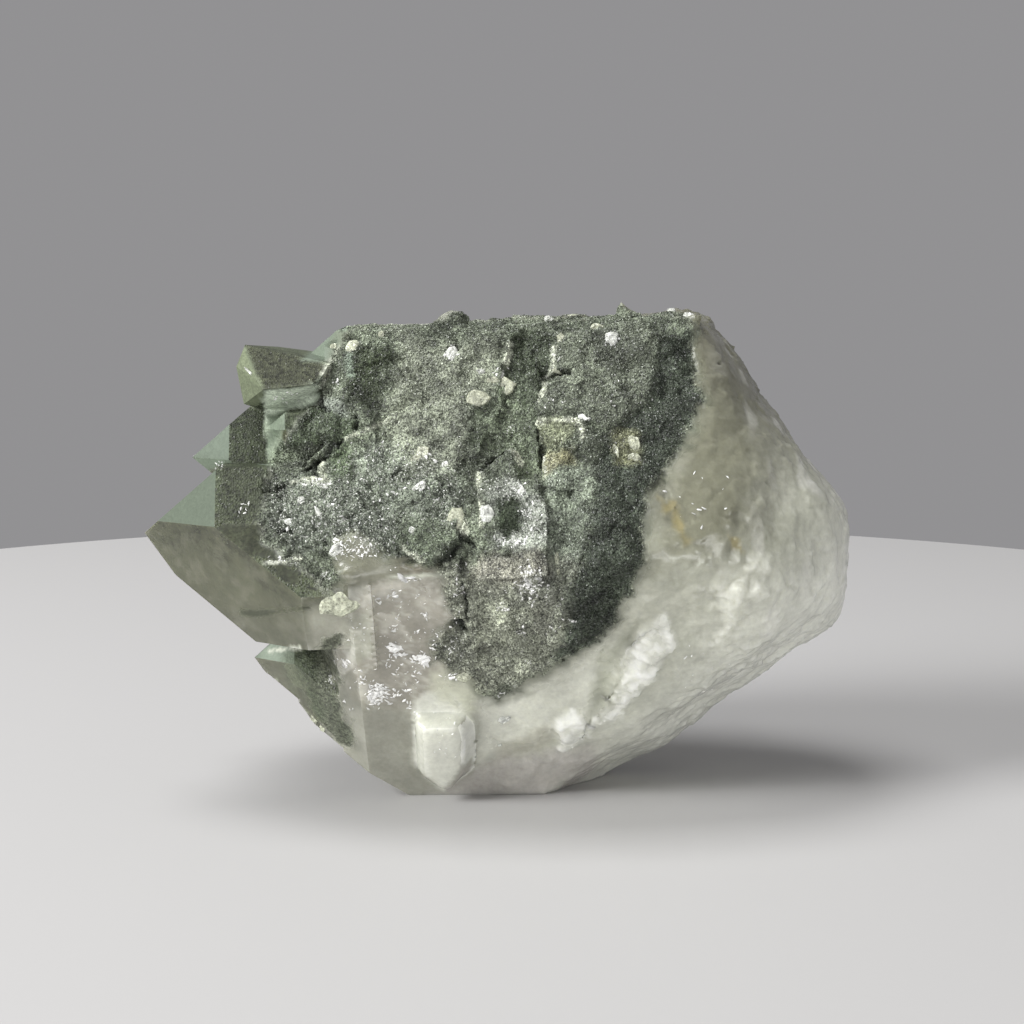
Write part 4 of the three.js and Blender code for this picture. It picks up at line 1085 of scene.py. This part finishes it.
# Middle on the front, width and height in mm, turn in degrees.
CREAM_CHIPS = [
    (-18.9, 21.4, 5.0, 2.9, 14), (-3.1, 44.9, 2.7, 1.9, 10), (0, 46.3, 2.5, 1.9, -15),
    (-1.3, 46.9, 1.6, 0.9, 0), (7.7, 54.1, 1.6, 0.7, 0), (6.4, 51.6, 1.1, 1.4, 20),
    (6.2, 48, 1.6, 0.9, 0), (10.4, 52.9, 1.6, 0.9, 0), (14.7, 39.8, 1.4, 2.0, 5),
    (14.6, 38.1, 1.6, 1.1, -10), (12.6, 38.7, 0.7, 1.8, 10), (-5.7, 31, 1.8, 2.8, -15),
    (-9.3, 38.7, 1.6, 1.6, 30), (-9.9, 38.1, 1.6, 0.9, 20), (6, 26, 0.6, 2.5, 5),
    (-13.9, 52, 0.7, 1.1, 5), (-17.2, 50.7, 1.7, 1.4, 30), (-19.2, 50.7, 1.0, 1.0, 0),
    (-4.8, 12.8, 2.0, 1.6, 0), (-22.1, 7.7, 1.1, 0.9, -40), (-21.2, 6.5, 0.9, 0.8, -40),
    (1.3, 38.5, 1.6, 0.6, -50), (4.6, 37.2, 0.9, 2.3, 0),
]
WHITE_CHIPS = [
    # The first white chip, a long thin sliver on the high block's left face, is a painted
    # highlight: it stands for a glint line.
    (-28.6, 47.6, 2.4, 0.32, -47), (-6, 49.9, 1.7, 1.6, 0), (4.9, 53.8, 1.0, 0.9, 0),
    (12, 51.6, 1.7, 1.9, 0), (8.9, 42.7, 1.5, 0.9, 0), (18.7, 54.8, 1.1, 0.8, 0),
    (20.7, 54, 1.3, 1.4, 0), (-2, 31.7, 1.5, 2.2, 10), (-24.5, 30.8, 1.3, 0.9, 0),
    (-23.2, 33.3, 0.9, 0.8, 0), (-21.3, 32.1, 0.7, 2.3, 20),
    (-19.4, 27.5, 1.1, 1.6, -20), (-18.4, 31, 1.1, 0.6, -20),
    (-20.4, 34.9, 2.0, 0.6, 5), (-6.8, 37.3, 0.9, 0.9, 0), (-9.7, 34.8, 1.8, 0.9, 30),
    (-10.6, 29.8, 0.9, 0.9, 0), (0, 7.7, 1.7, 1.0, 30), (-0.6, 4.6, 0.5, 0.5, 0),
    (2, 34.2, 1.0, 1.4, 20), (-2.8, 47.9, 1.1, 0.7, 0), (-0.5, 47.5, 0.9, 0.9, 0),
]
surface = BVHTree.FromPolygons(
    [tuple(v) for v in spots], at.reshape(-1, 3).tolist(), all_triangles=True
)
rng = np.random.default_rng(4)
SIDES = 11
# A chip's rings, from its sunk foot up: share of its width, lift by its thickness.
RINGS = ((1.0, -0.25), (1.0, 0.04), (0.86, 0.16), (0.46, 0.20))
TOP_LIFT, BOTTOM_LIFT = 0.17, 0.40
THICKNESS = 0.8
TO_EYE = 0.9
chips = bmesh.new()
chip_tint = chips.loops.layers.float_color.new("tint")
CREAM, WHITE = (190, 193, 171), (214, 216, 208)
for colour_of, chip_list in ((CREAM, CREAM_CHIPS), (WHITE, WHITE_CHIPS)):
    base_colour = linear(*colour_of)
    for cx, cz, width, height, turn in chip_list:
        through = Vector((cx * MM, 0.0, cz * MM)) - Vector(EYE)
        hits = []
        for dx, dz in ((0, 0), (0.3, 0), (-0.3, 0), (0, 0.3), (0, -0.3)):
            aim = through + Vector((dx * width * MM, 0.0, dz * height * MM))
            place_at, normal_at, _, _ = surface.ray_cast(Vector(EYE), aim.normalized())
            if place_at is not None:
                hits.append((place_at, normal_at))
        if not hits:
            continue
        centre = sum((h[0] for h in hits), Vector()) / len(hits)
        out_of = sum((h[1] for h in hits), Vector()) / len(hits)
        out_of = (out_of.normalized() - TO_EYE * through.normalized()).normalized()
        across = Vector((1, 0, 0)) - out_of * out_of.x
        across.normalize()
        upward = out_of.cross(across)
        if upward.z < 0:
            upward.negate()
        spin = math.radians(turn)
        sway = rng.uniform(0.80, 1.12, SIDES)
        angles = (np.arange(SIDES) + rng.uniform(-0.3, 0.3, SIDES)) * 2 * math.pi / SIDES
        lean = rng.uniform(-0.12, 0.12, 2)
        rise = min(width, height)
        rows = []
        for share, lift in RINGS:
            row = []
            for k in range(SIDES):
                u = 0.5 * width * share * sway[k] * math.cos(angles[k])
                v = 0.5 * height * share * sway[k] * math.sin(angles[k])
                u, v = (
                    u * math.cos(spin) - v * math.sin(spin),
                    u * math.sin(spin) + v * math.cos(spin),
                )
                w = lift * rise * THICKNESS + lean[0] * u + lean[1] * v
                w += rng.uniform(-0.06, 0.06)
                corner_at = centre + (across * u + upward * v + out_of * w) * MM
                row.append(chips.verts.new(corner_at))
            rows.append(row)
        top = chips.verts.new(centre + out_of * (TOP_LIFT * rise * THICKNESS * MM))
        bottom = chips.verts.new(centre - out_of * (BOTTOM_LIFT * rise * THICKNESS * MM))
        faces = []
        for lower, upper in zip(rows[:-1], rows[1:]):
            for k in range(SIDES):
                n = (k + 1) % SIDES
                faces.append(chips.faces.new((lower[k], lower[n], upper[n], upper[k])))
        for k in range(SIDES):
            n = (k + 1) % SIDES
            faces.append(chips.faces.new((rows[-1][k], rows[-1][n], top)))
            faces.append(chips.faces.new((rows[0][n], rows[0][k], bottom)))
        shade_of = base_colour * rng.uniform(0.85, 1.1)
        for face in faces:
            for corner in face.loops:
                corner[chip_tint] = (*np.clip(shade_of, 0, 1), 1.0)
bmesh.ops.triangulate(chips, faces=chips.faces)


def finished_piece(name, shape, material):
    """The piece made of this mesh, facing outwards, in its finish and on its body."""
    bmesh.ops.recalc_face_normals(shape, faces=shape.faces)
    made = bpy.data.meshes.new(name)
    shape.to_mesh(made)
    shape.free()
    made.materials.append(material)
    piece = bpy.data.objects.new(name, made)
    bpy.context.scene.collection.objects.link(piece)
    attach(piece, "root")


finished_piece("quartz_chips", chips, chip_look)

# ---------------------------------------------------------------------------
# Painted glints: thin white splinters in clusters over the window, round the pit and over
# the rough crust, that stand for sparkles of light. Each is a thin uneven splinter, half
# sunk.
# ---------------------------------------------------------------------------
painted_glint_look, node, wire, shader, _ = new_material(
    "quartz_splinters_painted_glints", in_IOR=QUARTZ_IOR, in_Roughness=0.18
)
frosting, _ = dusty_strength(
    node, dict(in_Scale=4000.0, in_Detail=3.0), in_To_Min=0.75, in_To_Max=1.15
)
wire(shader, {"Base Color": shaded_tint(node, frosting)})

# Middle on the front, spread each way, how many, and a splinter's length, in mm.
PAINTED_GLINT_CLUSTERS = [
    (-11.1, 24.1, 1.4, 0.3, 12, 0.40), (-12.7, 22.3, 0.6, 0.6, 9, 0.45),
    (-14.9, 21.6, 0.6, 0.5, 6, 0.40), (-10, 21.9, 0.6, 0.5, 4, 0.35),
    (-12.3, 19.6, 0.3, 0.7, 7, 0.45), (-12.8, 18.2, 0.5, 0.6, 8, 0.45),
    (-9.1, 20, 0.6, 0.5, 9, 0.40), (-10.1, 17.9, 0.7, 0.3, 8, 0.35),
    (-12.8, 16.1, 0.6, 0.3, 7, 0.70), (-12.1, 15.3, 0.6, 0.3, 6, 0.60),
    (-9.6, 14.8, 1.4, 0.7, 26, 0.60), (-8.3, 16, 0.5, 0.5, 7, 0.50),
    (-13.5, 14.3, 0.5, 0.9, 7, 0.40), (-12.1, 13.4, 0.7, 0.9, 10, 0.40),
    (-10, 13.3, 0.9, 0.9, 14, 0.40), (-18.9, 14.3, 0.9, 0.6, 10, 0.45),
    (-18.1, 14.2, 0.5, 0.3, 5, 0.50), (-20, 12.7, 0.5, 1.2, 10, 0.40),
    (-14.7, 10.7, 1.3, 1.2, 130, 0.50), (-16.6, 12.7, 1.2, 1.4, 18, 0.35),
    (-11.9, 10.8, 1.2, 0.9, 18, 0.45), (-11, 9.5, 0.7, 0.7, 9, 0.45),
    (-18.7, 9.8, 0.2, 0.3, 3, 0.40), (-17.9, 9.1, 0.2, 0.2, 2, 0.40),
    (-7.1, 17.3, 1.2, 1.4, 18, 0.35), (-6.1, 12.7, 0.9, 0.7, 12, 0.50),
    (1.5, 34.6, 0.9, 1.2, 36, 0.38), (2.8, 32, 0.9, 1.2, 50, 0.38),
    (3.6, 29.6, 0.9, 0.8, 22, 0.40), (1.7, 28.6, 1.2, 0.7, 60, 0.42),
    (-0.4, 28.6, 0.9, 0.5, 20, 0.40), (0.4, 33.5, 0.9, 0.6, 14, 0.30),
    (2.9, 23.7, 1.5, 1.6, 130, 0.45), (2.8, 25.1, 1.0, 0.7, 16, 0.40),
    (-0.3, 20.8, 0.8, 0.9, 22, 0.40), (1.7, 18, 0.6, 0.6, 10, 0.40),
    (0.1, 23.2, 0.7, 0.6, 10, 0.35), (-5.4, 22.9, 0.8, 3.0, 50, 0.32),
    (-5.6, 16.0, 1.2, 1.6, 40, 0.30), (7.4, 19.1, 1.2, 0.9, 14, 0.35),
    (5.3, 18.4, 0.8, 0.7, 9, 0.40), (2.5, 14.3, 0.5, 0.5, 6, 0.35),
    (-0.6, 10.8, 0.5, 0.5, 7, 0.45), (6.3, 21.7, 0.7, 1.6, 12, 0.30),
    (-6.1, 50, 0.8, 0.8, 20, 0.50), (12, 51.6, 0.8, 0.9, 16, 0.50),
    (8.9, 42.7, 0.7, 0.5, 9, 0.50), (-0.7, 48, 0.8, 0.6, 14, 0.40),
    (0.7, 41.1, 0.8, 0.7, 16, 0.35), (-2.4, 31.4, 0.6, 0.9, 8, 0.60),
    (-5.8, 31, 0.6, 1.2, 10, 0.45), (6.2, 50.1, 0.5, 1.4, 8, 0.40),
    (5.5, 44.5, 0.9, 0.8, 14, 0.35), (15.3, 44.7, 3.5, 4.6, 30, 0.30),
    (-29.8, 32.4, 0.7, 0.5, 10, 0.35), (-12.9, 16.1, 0.5, 0.4, 3, 1.30),
    (-12.0, 15.2, 0.5, 0.3, 2, 1.20), (-9.4, 14.8, 0.6, 0.5, 4, 1.30),
    (-11.0, 24.2, 0.5, 0.2, 2, 1.00), (-12.7, 22.5, 0.3, 0.3, 2, 0.90),
    (-18.6, 14.3, 0.4, 0.3, 3, 0.90), (-15.2, 10.1, 0.7, 0.6, 8, 0.90),
    (-6.0, 7.2, 0.3, 0.2, 2, 0.80), (-17.0, 27.6, 2.2, 1.2, 60, 0.35),
    (-17.0, 18.0, 1.4, 2.0, 24, 0.28), (22.5, 14.0, 4.5, 4.0, 16, 0.42),
    (21.5, 33.0, 4.0, 5.0, 14, 0.42), (-23.2, 33.3, 0.3, 0.3, 4, 0.60),
    (-24.5, 30.5, 0.5, 0.5, 5, 0.70), (-21.6, 30.6, 0.8, 0.3, 8, 0.50),
    (-18.8, 30.9, 0.8, 0.3, 8, 0.50), (-20.6, 35.5, 1.0, 0.5, 12, 0.45),
    (-22.3, 35.1, 1.2, 0.2, 8, 0.35), (-19.7, 32.8, 0.9, 0.9, 14, 0.45),
    (-25.3, 31.4, 0.7, 0.7, 6, 0.40), (-19.3, 27.7, 0.6, 1.0, 18, 0.50),
    (-20.4, 24.4, 0.8, 0.5, 10, 0.50), (-24.9, 26.5, 1.6, 0.3, 16, 0.35),
    (-18.6, 46.4, 0.9, 0.7, 10, 0.40), (-13.9, 30.3, 0.8, 0.8, 12, 0.40),
    (-13.7, 32.8, 0.7, 0.7, 10, 0.40), (-10.2, 35, 1.2, 0.7, 16, 0.40),
    (-12.1, 34.3, 0.9, 0.7, 10, 0.40), (-7.8, 33.8, 0.6, 1.0, 12, 0.40),
    (-9, 38.7, 0.8, 0.7, 8, 0.50), (-32.3, 37.3, 0.8, 0.5, 12, 0.35),
    (-26, 45, 0.2, 0.3, 3, 0.40), (-11.9, 37.3, 4.6, 2.9, 60, 0.28),
    (-16.5, 33.3, 4.6, 2.9, 60, 0.28), (-11.5, 18.5, 4.2, 5.6, 90, 0.20),
    (-24.3, 44.9, 1.6, 0.8, 14, 0.26), (-7.6, 6.0, 1.8, 3.4, 26, 0.20),
]
SPLINTER_SIDES = 5
SPLINTER_RISE, SPLINTER_SINK, SPLINTER_LEAST = 0.28, 0.30, 0.05
SCATTER = 0.55
rng = np.random.default_rng(12)
splinters = bmesh.new()
painted_glint_tint = splinters.loops.layers.float_color.new("tint")
for cx, cz, wide, tall, count, size in PAINTED_GLINT_CLUSTERS:
    for _ in range(count):
        sx, sz = rng.normal(0.0, SCATTER, 2) * (wide, tall)
        through = Vector(((cx + sx) * MM, 0.0, (cz + sz) * MM)) - Vector(EYE)
        found, out_of, _, _ = surface.ray_cast(Vector(EYE), through.normalized())
        length = size * rng.uniform(0.3, 1.7)
        breadth = length * rng.uniform(0.15, 0.60)
        spin, pitch = rng.uniform(-1.0, 1.0, 3)[:2] * (math.pi, 0.5)
        white = rng.uniform(0.60, 1.0)
        if found is None:
            continue
        across = out_of.orthogonal().normalized()
        turned = Matrix.Rotation(spin, 3, out_of) @ Matrix.Rotation(pitch, 3, across)
        along = turned @ across
        lift = turned @ out_of
        aside = lift.cross(along)
        rim = []
        for k in range(SPLINTER_SIDES):
            turn = 2 * math.pi * (k + rng.uniform(-0.3, 0.3)) / SPLINTER_SIDES
            u = 0.5 * length * math.cos(turn)
            v = 0.5 * breadth * math.sin(turn)
            rim.append(splinters.verts.new(found + (along * u + aside * v) * MM))
        rise = SPLINTER_RISE * breadth + SPLINTER_LEAST
        sink = SPLINTER_SINK * breadth + SPLINTER_LEAST
        top = splinters.verts.new(found + lift * rise * MM)
        foot = splinters.verts.new(found - lift * sink * MM)
        for k in range(SPLINTER_SIDES):
            n = (k + 1) % SPLINTER_SIDES
            for face in (
                splinters.faces.new((rim[k], rim[n], top)),
                splinters.faces.new((rim[n], rim[k], foot)),
            ):
                for corner in face.loops:
                    corner[painted_glint_tint] = (white, white, 0.97 * white, 1.0)
finished_piece("quartz_splinters_painted_glints", splinters, painted_glint_look)

# ---------------------------------------------------------------------------
# The table it stands on: a plain pale round top, which isn't part of the object.
# ---------------------------------------------------------------------------
TABLE_RADIUS = 0.180
bpy.ops.mesh.primitive_circle_add(
    vertices=256, radius=TABLE_RADIUS, fill_type="NGON", location=(0, 0.026, 0)
)
floor = bpy.context.object
floor.name = "floor"
floor_look = new_material(
    "pale_floor", in_Roughness=0.6, in_Base_Color=(0.46, 0.455, 0.45, 1.0)
)[0]
floor.data.materials.append(floor_look)

# ---------------------------------------------------------------------------
# The studio: a soft box at the left, one overhead, a weak fill in front and a pale
# room. The camera is 0.22 m in front of the crystal and looks down by 8 degrees.
# ---------------------------------------------------------------------------
AIM = Vector((0, 0, 0.03))


def soft_box(name, centre, width, height, watts):
    """A flat soft light of this size in metres that faces the crystal."""
    light = bpy.data.lights.new(name, "AREA")
    light.shape = "RECTANGLE"
    light.size = width
    light.size_y = height
    light.energy = watts
    holder = bpy.data.objects.new(name, light)
    bpy.context.scene.collection.objects.link(holder)
    holder.location = centre
    aim = AIM - Vector(centre)
    holder.rotation_euler = aim.to_track_quat("-Z", "Y").to_euler()


soft_box("key", (-0.72, -0.44, 0.52), 0.36, 0.36, 11.8)
soft_box("top", (-0.16, -0.02, 0.66), 0.3, 0.3, 2.8)
soft_box("fill", (0.14, -0.75, 0.05), 0.9, 0.16, 2.4)

room = bpy.data.worlds.new("room")
bpy.context.scene.world = room
room.use_nodes = True
backdrop = room.node_tree.nodes["Background"]
backdrop.inputs["Color"].default_value = (0.80, 0.79, 0.81, 1.0)
backdrop.inputs["Strength"].default_value = 0.36
bpy.context.scene.view_settings.view_transform = "Standard"

camera = bpy.data.cameras.new("camera")
SENSOR = 36.0
HALF_VIEW = math.radians(15.0)
LOOKS_DOWN = math.radians(8.0)
camera.sensor_width = SENSOR
camera.lens = SENSOR / 2 / math.tan(HALF_VIEW)
camera.clip_start = 0.01
camera_holder = bpy.data.objects.new("camera", camera)
bpy.context.scene.collection.objects.link(camera_holder)
camera_holder.location = Vector(EYE)
camera_holder.rotation_euler = (math.radians(90.0) - LOOKS_DOWN, 0.0, 0.0)
bpy.context.scene.camera = camera_holder
